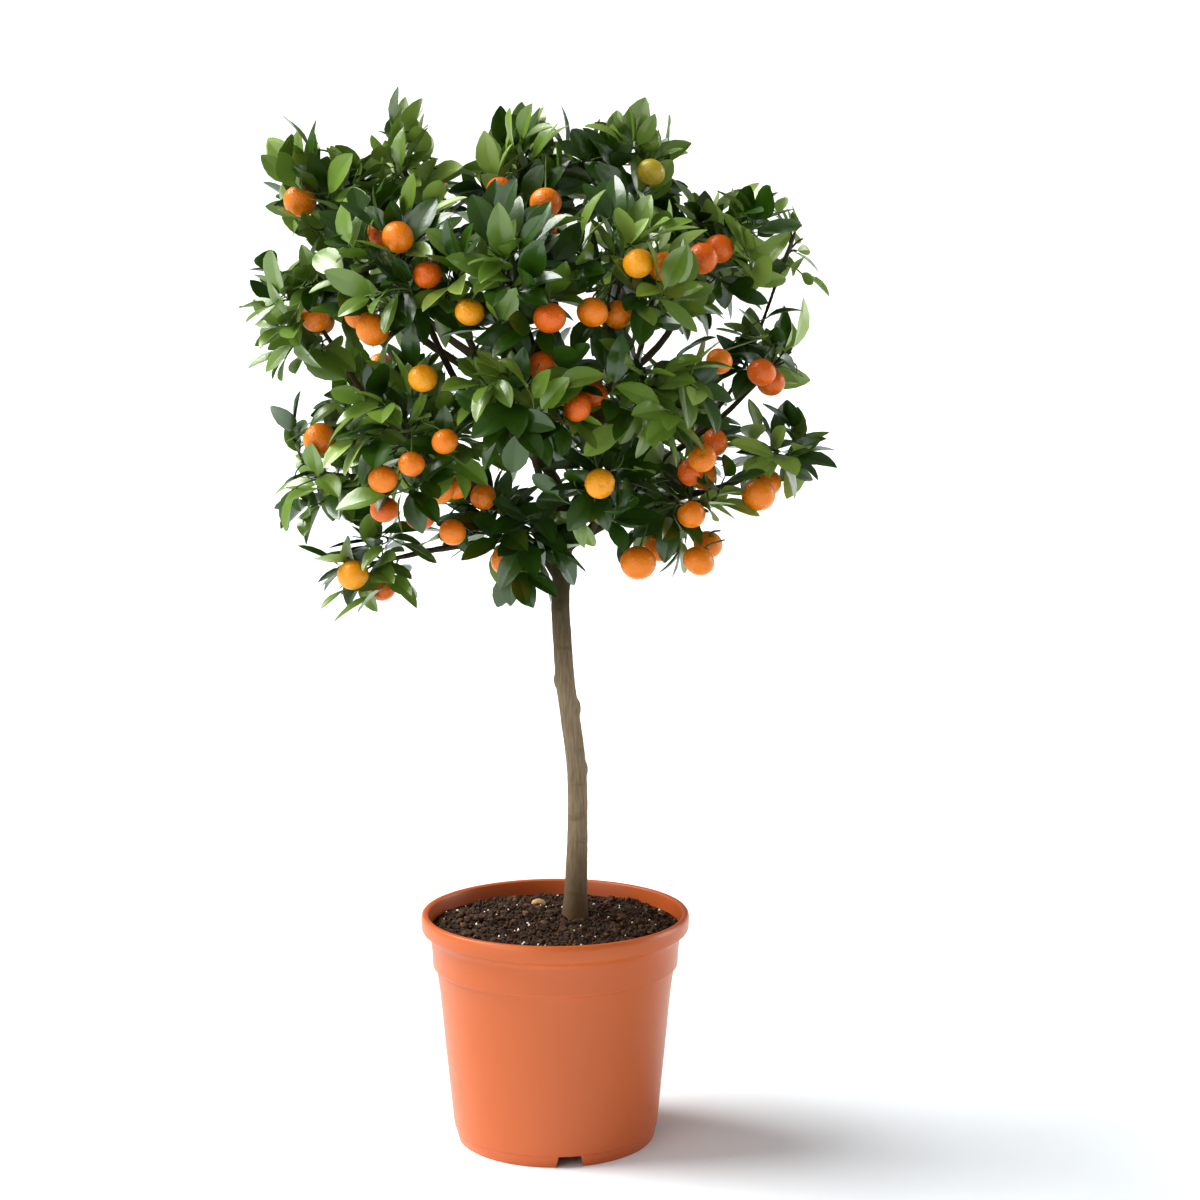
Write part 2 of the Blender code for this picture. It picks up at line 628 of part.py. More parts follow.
def make_soil(parts):
    """The soil: a plug that follows the pot's inside, with a lumpy top round the trunk."""
    rng = random.Random("soil")
    clearance = 1.5 * GAP
    floor = POT_FLOOR + POT_FLOOR_THICK + GAP
    foot = Vector((TRUNK_LINE[0][0] * MM, TRUNK_LINE[0][1] * MM, 0.0))
    rings = [(Vector(), inner_radius(z) - clearance, z, 0.0)
             for z in (floor, BODY_TOP, COLLAR_FOOT, SOIL_EDGE)]
    rim = rings[-1][1]
    for i in range(1, SOIL_RINGS + 1):
        share = i / SOIL_RINGS
        radius = rim + (SOIL_SEAT_RADIUS - rim) * share
        height = SOIL_EDGE + (SOIL_SEAT - SOIL_EDGE) * share
        lump = 0.0 if i == SOIL_RINGS else SOIL_LUMP
        rings.append((foot * share, radius, height, lump))
    form = bmesh.new()
    loops = []
    for middle, radius, height, lump in rings:
        loop = []
        for i in range(POT_SEGMENTS):
            turn = math.tau * i / POT_SEGMENTS
            place = Vector((radius * math.cos(turn), radius * math.sin(turn), 0.0)) + middle
            place.z = height + rng.uniform(-lump, lump)
            loop.append(form.verts.new(place))
        loops.append(loop)
    form.faces.new(reversed(loops[0]))
    form.faces.new(loops[-1])
    for low, high in zip(loops, loops[1:]):
        for i in range(POT_SEGMENTS):
            after = (i + 1) % POT_SEGMENTS
            form.faces.new((low[i], low[after], high[after], high[i]))
    mesh = bpy.data.meshes.new("soil")
    form.to_mesh(mesh)
    form.free()
    soil = link_mesh("soil", mesh, parts)
    soil.data.materials.append(finish("peat_compost", (0.030, 0.018, 0.012), 0.95))
    return soil


# ---------------------------------------------------------------- trunk and boughs

def make_trunk(line, radii, parts, scratch):
    """The trunk: a tapering limb with its root flare and scars, cut flat at the ground."""
    trunk = tube("trunk", line, radii, parts, resolution=3)
    height = line[-1].z - line[0].z
    for i, (share, turn, radius) in enumerate(TRUNK_KNOTS):
        form = bmesh.new()
        bmesh.ops.create_uvsphere(form, u_segments=8, v_segments=5, radius=radius * MM)
        middle = next(a.lerp(b, (line[0].z + share * height - a.z) / (b.z - a.z))
                      for a, b in zip(line, line[1:]) if b.z >= line[0].z + share * height)
        out = Vector((math.cos(math.radians(turn)), math.sin(math.radians(turn)), 0.0))
        place = Matrix.Translation(middle + out * 5.8 * MM) @ Matrix.Scale(1.35, 4, UP)
        bmesh.ops.transform(form, matrix=place, verts=form.verts)
        mesh = bpy.data.meshes.new(f"scar_{i + 1}")
        form.to_mesh(mesh)
        form.free()
        link_mesh(f"scar_{i + 1}", mesh, scratch)
    boolean(trunk, "UNION", scratch)
    apply_modifiers(trunk)
    empty_collection(scratch)
    form = bmesh.new()
    form.from_mesh(trunk.data)
    cut = bmesh.ops.bisect_plane(form, geom=[*form.verts, *form.edges, *form.faces],
                                 plane_co=(0.0, 0.0, GROUND), plane_no=UP, clear_inner=True)
    rim = [item for item in cut["geom_cut"] if isinstance(item, bmesh.types.BMEdge)]
    bmesh.ops.contextual_create(form, geom=rim)
    bmesh.ops.recalc_face_normals(form, faces=form.faces)
    form.to_mesh(trunk.data)
    form.free()
    keep_largest_body(trunk.data)
    return trunk


def empty_collection(collection):
    """Remove every object of a collection."""
    for thing in list(collection.objects):
        remove_object(thing)


def grown(name, line, radii, resolution, collection):
    """A copy of a limb that is larger by the gap all round, to cut its neighbours with."""
    first = line[0] + (line[0] - line[1]).normalized() * GAP
    last = line[-1] + (line[-1] - line[-2]).normalized() * GAP
    wider = [radius + 1.35 * GAP for radius in radii]
    return tube(name, [first, *line[1:-1], last], wider, collection, resolution)


def near(line, other, distance):
    """Whether two lines come within a distance of each other."""
    return any((a - b).length < distance for a in line for b in other)


def make_boughs(lines, radii, parts, scratch):
    """Every bough, cut 0.3 mm clear of the limb it leaves and of those beside it."""
    boughs = {}
    for mass in MASSES:
        line = lines[mass.name]
        bough = tube(f"bough_{mass.name}", line, radii[mass.name], parts, resolution=1)
        reach = 3.0 * max(mass.base * MM, radii["trunk"][-1])
        for name in ("trunk", *boughs):
            close = name == mass.parent or near(line[:4], lines[name], reach)
            if close:
                resolution = 3 if name == "trunk" else 1
                limb = grown("neighbour", lines[name], radii[name], resolution, scratch)
                boolean(bough, "DIFFERENCE", limb)
                apply_modifiers(bough)
                remove_object(limb)
        keep_largest_body(bough.data)
        boughs[mass.name] = bough
    return boughs


# ---------------------------------------------------------------- growth of a mass

@dataclass(frozen=True)
class Fruit:
    """One fruit, and the mass whose twigs carry it."""

    mass: str
    centre: Vector
    radius: float

    def shows_to(self):
        """The way that the fruit looks out of the crown, where no leaf covers it."""
        if self.centre.y < 0.0:
            return (VIEWPOINT - self.centre).normalized()
        return Vector((self.centre.x, self.centre.y, 0.0)).normalized()

    def covered_by(self, points):
        """Whether some of the points lie before the fruit, seen from where it shows."""
        out = self.shows_to()
        for point in points:
            way = point - self.centre
            ahead = way.dot(out)
            if ahead > 0.0 and (way - out * ahead).length < self.radius * FRUIT_IN_VIEW:
                return True
        return False


class Obstacles:
    """The limbs and fruit that no leaf or twig may touch."""

    def __init__(self, lines, radii, scratch):
        self.near_leaves = limb_tree(lines, radii, CLEAR_OF_LIMBS, scratch)
        self.near_twigs = limb_tree(lines, radii, CLEAR_OF_LIMBS + SHOOT_RADIUS, scratch)
        self.fruit = []
        for mass in MASSES:
            for *offset, radius in mass.fruit:
                centre = millimetres(mass.centre) + millimetres(offset)
                self.fruit.append(Fruit(mass.name, centre, radius * MM))

    def touch(self, tree, points):
        """Whether a leaf meets a limb or a fruit, or covers a fruit."""
        if tree.overlap(self.near_leaves):
            return True
        for fruit in self.fruit:
            clear = fruit.radius + CLEAR_OF_LIMBS
            if any((point - fruit.centre).length < clear for point in points):
                return True
            if fruit.covered_by(points):
                return True
        return False


def limb_tree(lines, radii, extra, scratch):
    """A search tree over every limb, made wider all round."""
    limbs = []
    for name, line in lines.items():
        wide = [radius + extra for radius in radii[name]]
        limbs.append(tube(name, line, wide, scratch, resolution=1))
    tree = tree_of(limbs)
    empty_collection(scratch)
    return tree


def tree_of(things):
    """A search tree over the faces of some objects."""
    corners = []
    faces = []
    for thing in things:
        first = len(corners)
        corners.extend(corner.co.copy() for corner in thing.data.vertices)
        faces.extend([first + i for i in face.vertices] for face in thing.data.polygons)
    return BVHTree.FromPolygons(corners, faces)


@dataclass
class Twig:
    """One twig: its line and the radii along it."""

    line: list
    radii: list


@dataclass
class Leaf:
    """One leaf: its root, the way it points, its upper side and its length."""

    root: Vector
    way: Vector
    up: Vector
    length: float

    def corners(self):
        """Corners of the solid: its root, its left and right edge, its keel and its tip."""
        side = self.way.cross(self.up).normalized()
        up = side.cross(self.way).normalized()
        half = self.length * LEAF_WIDTH / 2.0
        middle = self.root + self.way * self.length * LEAF_WIDEST
        keel = self.root + self.way * self.length * LEAF_KEEL_PLACE - up * LEAF_KEEL
        tip = self.root + self.way * self.length - up * self.length * LEAF_DROOP
        return [self.root - self.way * LEAF_SUNK, middle - side * half, middle + side * half,
                keel, tip]


# The faces of a leaf: two above, which meet along its widest line, and four below.
LEAF_FACES = ((0, 2, 1), (1, 2, 4), (0, 1, 3), (3, 1, 4), (0, 3, 2), (3, 4, 2))


def bowed(start, heading, end):
    """A line from start to end that sets out along a heading."""
    way = end - start
    control = start + heading * way.length * BOW
    points = []
    for t in (0.0, 0.5, 1.0):
        points.append(start * (1 - t) ** 2 + control * 2 * t * (1 - t) + end * t ** 2)
    return points


def inside(line, space):
    """Whether a line and the points halfway along it stay in a mass's space."""
    points = line + [a.lerp(b, 0.5) for a, b in zip(line, line[1:])]
    return all(space.holds(point) for point in points)


class Growth:
    """What grows in one mass: a stem, its shoots, the fruit stalks and the leaves."""

    def __init__(self, mass, line, obstacles):
        self.mass = mass
        self.space = Space(mass)
        self.obstacles = obstacles
        self.rng = random.Random(f"{mass.name} {mass.seed}")
        self.twigs = []
        self.leaves = []
        heading = (line[-1] - line[-2]).normalized()
        root = line[-1] + heading * GAP
        self.stem = self.free_stem(root, heading)
        self.twigs.append(Twig(self.stem, tapered(3, STEM_RADIUS, STEM_TIP_RADIUS)))
        self.grow_shoots()
        self.grow_stalks()
        self.grow_leaves()

    def free_stem(self, root, heading):
        """The stem: on from the bough's tip to the middle, clear of every other limb."""
        end = self.space.centre + heading * 6.0 * MM
        for attempt in range(STEM_TRIES):
            stem = bowed(root, heading, end)
            if not self.blocked([point_along(stem, SHOOT_ROOTS[0]), *stem[1:]], STEM_CLEAR):
                return stem
            end = self.space.centre + self.aside(STEM_SHIFT)
        print(f"{self.mass.name}: the stem is not free")
        return stem

    def aside(self, reach):
        """A random shift, at most the given reach along each axis."""
        return Vector(self.rng.uniform(-reach, reach) for _ in range(3))

    def targets(self):
        """Ends for the shoots: first the named tips, then points spread over the mass."""
        ends = [self.space.centre + millimetres(tip) for tip in self.mass.tips]
        back = (self.stem[0] - self.space.centre).normalized()
        spin = self.rng.uniform(0.0, math.tau)
        count = 3 * self.mass.shoots
        for i in range(count):
            height = 1.0 - 2.0 * (i + 0.5) / count
            turn = spin + GOLDEN_ANGLE * i
            flat = math.sqrt(1.0 - height ** 2)
            way = Vector((flat * math.cos(turn), flat * math.sin(turn), height))
            if way.dot(back) > BEHIND:
                continue
            reach = Vector(a * b for a, b in zip(way, self.space.reach))
            end = self.space.centre + reach * self.rng.uniform(*SHOOT_REACH)
            if not in_gap(end):
                ends.append(end)
        spread = ends[len(self.mass.tips):]
        self.rng.shuffle(spread)
        return ends[:len(self.mass.tips)] + spread

    def grow_shoots(self):
        """Shoots from the stem to their ends, the rearmost end from nearest the root."""
        heading = (self.stem[-1] - self.stem[0]).normalized()
        ends = []
        for end in self.targets():
            if len(ends) >= self.mass.shoots:
                break
            if any((end - other).length < SHOOT_SPREAD for other in ends):
                continue
            line = bowed(point_along(self.stem, sum(SHOOT_ROOTS) / 2.0), heading, end)
            if inside(line, self.space) and not self.blocked(line, SHOOT_CLEAR):
                ends.append(end)
        ends.sort(key=lambda end: (end - self.stem[0]).dot(heading))
        low, high = SHOOT_ROOTS
        for i, end in enumerate(ends):
            share = low + (high - low) * (i + 0.5) / len(ends)
            line = bowed(point_along(self.stem, share), heading, end)
            if inside(line, self.space) and not self.blocked(line, SHOOT_CLEAR):
                self.twigs.append(Twig(line, tapered(3, SHOOT_RADIUS, SHOOT_TIP_RADIUS)))

    def blocked(self, line, clear):
        """Whether a line meets a limb or comes close to a fruit."""
        for a, b in zip(line, line[1:]):
            way = b - a
            tree = self.obstacles.near_twigs
            if tree.ray_cast(a, way.normalized(), way.length)[0] is not None:
                return True
            for fruit in self.obstacles.fruit:
                share = min(max((fruit.centre - a).dot(way) / way.length_squared, 0.0), 1.0)
                if (a + way * share - fruit.centre).length < fruit.radius + clear:
                    return True
        return False

    def grow_stalks(self):
        """A stalk to each fruit, from the nearest twig that it can reach freely."""
        bearers = list(self.twigs)
        for fruit in self.obstacles.fruit:
            if fruit.mass == self.mass.name:
                line = self.stalk_line(fruit, bearers)
                if line:
                    radii = tapered(len(line), STALK_RADIUS, STALK_END_RADIUS)
                    self.twigs.append(Twig(line, radii))
                else:
                    print(f"{self.mass.name}: a fruit has no stalk")

    def stalk_line(self, fruit, bearers):
        """The line of one stalk: straight where that is free, and otherwise bent."""
        starts = [point_along(twig.line, share) for twig in bearers for share in STALK_ROOTS]
        starts.sort(key=lambda place: (place - fruit.centre).length)
        for knees in range(STALK_KNEES):
            for start in starts:
                for lift in STALK_LIFTS:
                    out = ((start - fruit.centre).normalized() + UP * lift).normalized()
                    door = fruit.centre + out * (fruit.radius + STALK_DOOR)
                    route = [start, door]
                    if knees:
                        route.insert(1, start.lerp(door, 0.5) + self.aside(STALK_BEND))
                    if inside(route, self.space) and not self.blocked(route, STALK_CLEAR):
                        return [*route[:-1], fruit.centre + out * fruit.radius * STALK_DEPTH]
        return None

    def grow_leaves(self):
        """Leaves round the outer part of each shoot and at its end, dealt out in turn."""
        shoots = [twig for twig in self.twigs[1:] if twig.radii[-1] == SHOOT_TIP_RADIUS]
        turn = self.rng.uniform(0.0, math.tau)
        for place in range(LEAF_PLACES):
            for shoot in shoots:
                if len(self.leaves) >= self.mass.leaves:
                    return
                length = sum((b - a).length for a, b in zip(shoot.line, shoot.line[1:]))
                share = 1.0 - (FIRST_LEAF + place * LEAF_SPACING) / length
                turn += GOLDEN_ANGLE
                if share > LEAF_STAYS_ABOVE:
                    lean = END_LEAF_LEAN if place == 0 else SIDE_LEAF_LEAN
                    self.set_leaf(shoot, share, turn, lean)

    def set_leaf(self, shoot, share, turn, lean):
        """One leaf at a place on a shoot, turned until it is clear of everything."""
        root = point_along(shoot.line, share)
        axis = (shoot.line[-1] - shoot.line[-2]).normalized()
        across = axis.orthogonal().normalized()
        outward = (root - self.space.centre).normalized()
        length = LEAF_LENGTH * self.rng.uniform(*LEAF_SIZES)
        up, out, along = LEAF_FACING
        face = UP * up + outward * out + axis * along
        for attempt in range(LEAF_TURNS):
            around = Matrix.Rotation(turn + attempt * LEAF_TURN, 3, axis) @ across
            way = axis * math.cos(lean) + around * math.sin(lean)
            way = (way + LEAF_OUT * outward + LEAF_RISE * UP).normalized()
            leaf = Leaf(root, way, (face - way * face.dot(way)).normalized(), length)
            if self.leaf_fits(leaf, shoot):
                self.leaves.append(leaf)
                return

    def leaf_fits(self, leaf, shoot):
        """Whether a leaf keeps to its space, to the crown's gaps and off its neighbours."""
        corners = leaf.corners()
        middle = leaf.root + leaf.way * leaf.length * 0.5
        outer = (*corners[3:], middle)
        if not all(self.space.holds(corner) for corner in corners):
            return False
        if any(in_gap(point) for point in outer):
            return False
        tree = BVHTree.FromPolygons(corners, LEAF_FACES)
        if self.obstacles.touch(tree, outer):
            return False
        for other in self.leaves:
            if (other.root - leaf.root).length < leaf.length + other.length:
                if tree.overlap(BVHTree.FromPolygons(other.corners(), LEAF_FACES)):
                    return False
        for twig in self.twigs:
            if twig is not shoot and crosses(tree, twig.line):
                return False
        return True


def crosses(tree, line):
    """Whether a line passes through the faces of a search tree."""
    for a, b in zip(line, line[1:]):
        way = b - a
        if tree.ray_cast(a, way.normalized(), way.length)[0] is not None:
            return True
    return False


def leaf_mesh(name, leaf, collection):
    """The solid of a leaf: a three-sided spindle, flat above and keeled below."""
    form = bmesh.new()
    bmesh.ops.create_uvsphere(form, u_segments=3, v_segments=2, radius=1.0)
    poles = sorted((v for v in form.verts if abs(v.co.z) > 0.5), key=lambda v: v.co.z)
    girth = sorted((v for v in form.verts if abs(v.co.z) < 0.5), key=turn_of)
    corners = (poles[0], *girth, poles[1])
    for corner, place in zip(corners, leaf.corners()):
        corner.co = place
    bmesh.ops.recalc_face_normals(form, faces=form.faces)
    mesh = bpy.data.meshes.new(name)
    form.to_mesh(mesh)
    form.free()
    return link_mesh(name, mesh, collection)


def turn_of(corner):
    """The turn of a corner about the vertical, in whole degrees."""
    return round(math.degrees(math.atan2(corner.co.y, corner.co.x)))


def fruit_mesh(name, fruit, collection):
    """A fruit: a slightly flattened ball."""
    form = bmesh.new()
    bmesh.ops.create_uvsphere(form, u_segments=6, v_segments=4, radius=fruit.radius)
    tilt = Matrix.Rotation(FRUIT_TILT, 4, "Y") @ Matrix.Rotation(math.pi / 6.0, 4, "Z")
    place = Matrix.Translation(fruit.centre) @ Matrix.Scale(FRUIT_FLAT, 4, UP) @ tilt
    bmesh.ops.transform(form, matrix=place, verts=form.verts)
    mesh = bpy.data.meshes.new(name)
    form.to_mesh(mesh)
    form.free()
    return link_mesh(name, mesh, collection)


def make_mass(growth, parts, scratch):
    """One mass: its twigs, leaves and fruit, fused into one solid on its stem."""
    name = growth.mass.name
    twigs = growth.twigs
    body = tube(f"mass_{name}", twigs[0].line, twigs[0].radii, parts)
    for i, twig in enumerate(twigs[1:]):
        tube(f"twig_{i}", twig.line, twig.radii, scratch)
    for i, leaf in enumerate(growth.leaves):
        leaf_mesh(f"leaf_{i}", leaf, scratch)
    for fruit in growth.obstacles.fruit:
        if fruit.mass == name:
            fruit_mesh("fruit", fruit, scratch)
    boolean(body, "UNION", scratch)
    apply_modifiers(body)
    empty_collection(scratch)
    keep_largest_body(body.data)
    make_flat_faces_whole(body.data)
    return body


# ---------------------------------------------------------------- the whole plant

def clear_scene():
    """Remove whatever the file held before."""
    for thing in list(bpy.data.objects):
        bpy.data.objects.remove(thing)
    for collection in list(bpy.data.collections):
        bpy.data.collections.remove(collection)


def new_collection(name):
    """A collection under the scene's own."""
    collection = bpy.data.collections.new(name)
    bpy.context.scene.collection.children.link(collection)
    return collection


def build():
    """Make every piece of the plant and its pot."""
    clear_scene()
    parts = new_collection("calamondin_orange_tree")
    cutters = new_collection("cutters")
    scratch = new_collection("scratch")
    three_sided_section(cutters)
    bark = finish("bark", (0.20, 0.15, 0.10), 0.9)
    green = finish("glossy_leaves", (0.03, 0.09, 0.02), 0.4)
    make_pot(parts, cutters)
    make_soil(parts)
    lines, radii = lay_out_boughs()
    trunk = make_trunk(lines["trunk"], radii["trunk"], parts, scratch)
    trunk.data.materials.append(bark)
    for bough in make_boughs(lines, radii, parts, scratch).values():
        bough.data.materials.append(bark)
        shade_round(bough.data, 50.0)
    obstacles = Obstacles(lines, radii, scratch)
    for mass in MASSES:
        growth = Growth(mass, lines[mass.name], obstacles)
        body = make_mass(growth, parts, scratch)
        body.data.materials.append(green)
    bpy.data.collections.remove(scratch)


build()
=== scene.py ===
"""The looks of a calamondin orange tree, grown as a standard in a moulded plastic nursery pot.

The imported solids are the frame, and every piece made here rides on their one body. The crown
grows again by the rule of its source: the same boughs, stems, shoots, stalks and fruit, carried
on to finer twigs and to leaves of life size. Metres, +Z up, and the front looks towards -Y.
"""
from __future__ import annotations

import json
import logging
import math
import random
from collections.abc import Callable, Iterable, Iterator, Sequence
from dataclasses import dataclass, field
from enum import Enum

import bmesh
import bpy
import numpy as np
from mathutils import Matrix, Vector
from mathutils.bvhtree import BVHTree

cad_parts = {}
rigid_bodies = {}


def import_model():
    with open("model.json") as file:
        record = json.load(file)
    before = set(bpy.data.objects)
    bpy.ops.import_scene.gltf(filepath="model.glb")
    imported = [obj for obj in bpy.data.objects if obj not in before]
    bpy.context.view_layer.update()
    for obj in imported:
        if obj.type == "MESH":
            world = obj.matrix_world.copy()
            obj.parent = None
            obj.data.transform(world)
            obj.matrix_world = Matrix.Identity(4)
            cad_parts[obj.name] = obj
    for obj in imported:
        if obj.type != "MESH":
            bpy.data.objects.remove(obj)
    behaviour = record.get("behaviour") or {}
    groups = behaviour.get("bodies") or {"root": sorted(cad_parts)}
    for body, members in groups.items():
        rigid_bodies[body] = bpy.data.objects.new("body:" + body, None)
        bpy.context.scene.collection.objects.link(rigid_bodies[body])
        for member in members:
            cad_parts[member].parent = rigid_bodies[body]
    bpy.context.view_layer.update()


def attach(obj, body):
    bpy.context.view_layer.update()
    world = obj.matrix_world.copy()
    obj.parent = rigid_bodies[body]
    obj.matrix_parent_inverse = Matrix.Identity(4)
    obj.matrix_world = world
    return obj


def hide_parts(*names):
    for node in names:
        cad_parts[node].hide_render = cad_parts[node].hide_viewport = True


LOG = logging.getLogger("calamondin")
MM = 0.001
UP = Vector((0.0, 0.0, 1.0))
GOLDEN_ANGLE = math.pi * (3.0 - math.sqrt(5.0))
GAP = 0.3 * MM
BODY = "root"


# ---------------------------------------------------------------- finishes

def linear(code: str) -> tuple[float, float, float, float]:
    """Turn an sRGB colour into the linear one that a shader takes.

    Args:
        code: six hex digits.

    Returns:
        Red, green, blue and alpha, each from 0 to 1.
    """
    parts = [int(code[i:i + 2], 16) / 255.0 for i in (0, 2, 4)]
    red, green, blue = (c / 12.92 if c <= 0.04045 else ((c + 0.055) / 1.055) ** 2.4 for c in parts)
    return red, green, blue, 1.0


def per_mm(size_mm: float) -> float:
    """The scale of a pattern whose features are so many millimetres wide."""
    return 1.0 / (size_mm * MM)


def add_node(tree: bpy.types.NodeTree, kind: str, settings: dict | None = None,
             links: dict | None = None, feeds: dict | None = None) -> bpy.types.Node:
    """Add one node to a material.

    Args:
        tree: the material's node tree.
        kind: the node's type, as Blender names it.
        settings: values by the name of an attribute, or by the name or number of an input.
        links: the outputs that feed its inputs, by the input's name or number.
        feeds: the inputs that its outputs feed, by the output's name or number.

    Returns:
        The new node.
    """
    node = tree.nodes.new(kind)
    for key, value in (settings or {}).items():
        if isinstance(key, int) or key in node.inputs:
            node.inputs[key].default_value = value
        else:
            setattr(node, key, value)
    for key, output in (links or {}).items():
        tree.links.new(output, node.inputs[key])
    for key, goal in (feeds or {}).items():
        tree.links.new(node.outputs[key], goal)
    return node


@dataclass(frozen=True)
class Finish:
    """A surface with one even colour. Its subclasses add the pattern of theirs."""

    name: str
    colour: str
    roughness: float = 0.5
    ior: float = 1.45
    subsurface: float = 0.0
    subsurface_mm: float = 1.0
    grain_mm: float = 1.0
    grain_depth_mm: float = 0.1

    def material(self) -> bpy.types.Material:
        """Make the material, or find it where an earlier piece has made it.

        Returns:
            the material.
        """
        found = bpy.data.materials.get(self.name)
        if found:
            return found
        material = bpy.data.materials.new(self.name)
        material.use_nodes = True
        shader = material.node_tree.nodes["Principled BSDF"]
        shader.inputs["Base Color"].default_value = linear(self.colour)
        shader.inputs["Roughness"].default_value = self.roughness
        shader.inputs["IOR"].default_value = self.ior
        shader.inputs["Subsurface Weight"].default_value = self.subsurface
        shader.inputs["Subsurface Scale"].default_value = self.subsurface_mm * MM
        material.diffuse_color = linear(self.colour)
        self.pattern(material.node_tree, shader)
        return material

    def pattern(self, tree: bpy.types.NodeTree, shader: bpy.types.Node) -> None:
        """Add what the surface has besides its even colour: here uneven gloss and fine grain.

        Args:
            tree: the material's node tree.
            shader: its surface shader.
        """
        grain = add_node(tree, "ShaderNodeTexNoise",
                         {"Scale": per_mm(self.grain_mm), "Detail": 3.0, "Roughness": 0.55},
                         {"Vector": self.place(tree)}).outputs["Fac"]
        add_node(tree, "ShaderNodeMapRange",
                 {"To Min": max(0.05, self.roughness - 0.12),
                  "To Max": min(1.0, self.roughness + 0.12)},
                 {"Value": grain}, {"Result": shader.inputs["Roughness"]})
        add_node(tree, "ShaderNodeBump",
                 {"Strength": 1.0, "Distance": self.grain_depth_mm * MM},
                 {"Height": grain}, {"Normal": shader.inputs["Normal"]})

    def place(self, tree: bpy.types.NodeTree,
              stretch: Sequence[float] = (1.0, 1.0, 1.0)) -> bpy.types.NodeSocket:
        """The Object coordinates of a point, stretched along the axes, as an output.

        Args:
            tree: the material's node tree.
            stretch: factors along x, y and z.

        Returns:
            the output that holds them.
        """
        source = add_node(tree, "ShaderNodeTexCoord")
        return add_node(tree, "ShaderNodeMapping", {"Scale": stretch},
                        {"Vector": source.outputs["Object"]}).outputs["Vector"]


@dataclass(frozen=True)
class MouldedPolypropylene(Finish):
    """Terracotta-coloured polypropylene, injection moulded: an even orange with a soft sheen.

    The grain of the mould blurs its reflections, and faint flow marks and handling dull it.
    """

    flow: str = "B45B2A"

    def pattern(self, tree: bpy.types.NodeTree, shader: bpy.types.Node) -> None:
        """Slow flow marks in the colour, uneven gloss and the fine grain of the mould.

        Args:
            tree: the material's node tree.
            shader: its surface shader.
        """
        slow = add_node(tree, "ShaderNodeTexNoise",
                        {"Scale": per_mm(60.0), "Detail": 2.0, "Roughness": 0.55},
                        {"Vector": self.place(tree, (1.0, 1.0, 0.35))})
        add_node(tree, "ShaderNodeMix",
                 {"data_type": "RGBA", 6: linear(self.colour), 7: linear(self.flow)},
                 {0: slow.outputs["Fac"]}, {2: shader.inputs["Base Color"]})
        rub = add_node(tree, "ShaderNodeTexNoise",
                       {"Scale": per_mm(9.0), "Detail": 4.0, "Roughness": 0.65},
                       {"Vector": self.place(tree)})
        add_node(tree, "ShaderNodeMapRange",
                 {"To Min": self.roughness - 0.06, "To Max": self.roughness + 0.10},
                 {"Value": rub.outputs["Fac"]}, {"Result": shader.inputs["Roughness"]})
        grain = add_node(tree, "ShaderNodeTexNoise",
                         {"Scale": per_mm(1.6), "Detail": 2.0, "Roughness": 0.55},
                         {"Vector": self.place(tree)})
        add_node(tree, "ShaderNodeBump", {"Strength": 0.5, "Distance": 0.05 * MM},
                 {"Height": grain.outputs["Fac"]}, {"Normal": shader.inputs["Normal"]})


@dataclass(frozen=True)
class PeatCompost(Finish):
    """Moist peat with fine bark: almost black, matt, crumbly, with browner fibres."""

    fibre: str = "4A3526"

    def pattern(self, tree: bpy.types.NodeTree, shader: bpy.types.Node) -> None:
        """Browner fibres among dark crumbs, and a grainy surface.

        Args:
            tree: the material's node tree.
            shader: its surface shader.
        """
        where = self.place(tree)
        mottle = add_node(tree, "ShaderNodeTexNoise",
                          {"Scale": per_mm(5.0), "Detail": 6.0, "Roughness": 0.7},
                          {"Vector": where})
        sharp = add_node(tree, "ShaderNodeMapRange", {"From Min": 0.42, "From Max": 0.68},
                         {"Value": mottle.outputs["Fac"]})
        add_node(tree, "ShaderNodeMix",
                 {"data_type": "RGBA", 6: linear(self.colour), 7: linear(self.fibre)},
                 {0: sharp.outputs["Result"]}, {2: shader.inputs["Base Color"]})
        grain = add_node(tree, "ShaderNodeTexNoise",
                         {"Scale": per_mm(1.4), "Detail": 5.0, "Roughness": 0.7},
                         {"Vector": where})
        add_node(tree, "ShaderNodeBump", {"Strength": 1.0, "Distance": 0.9 * MM},
                 {"Height": grain.outputs["Fac"]}, {"Normal": shader.inputs["Normal"]})


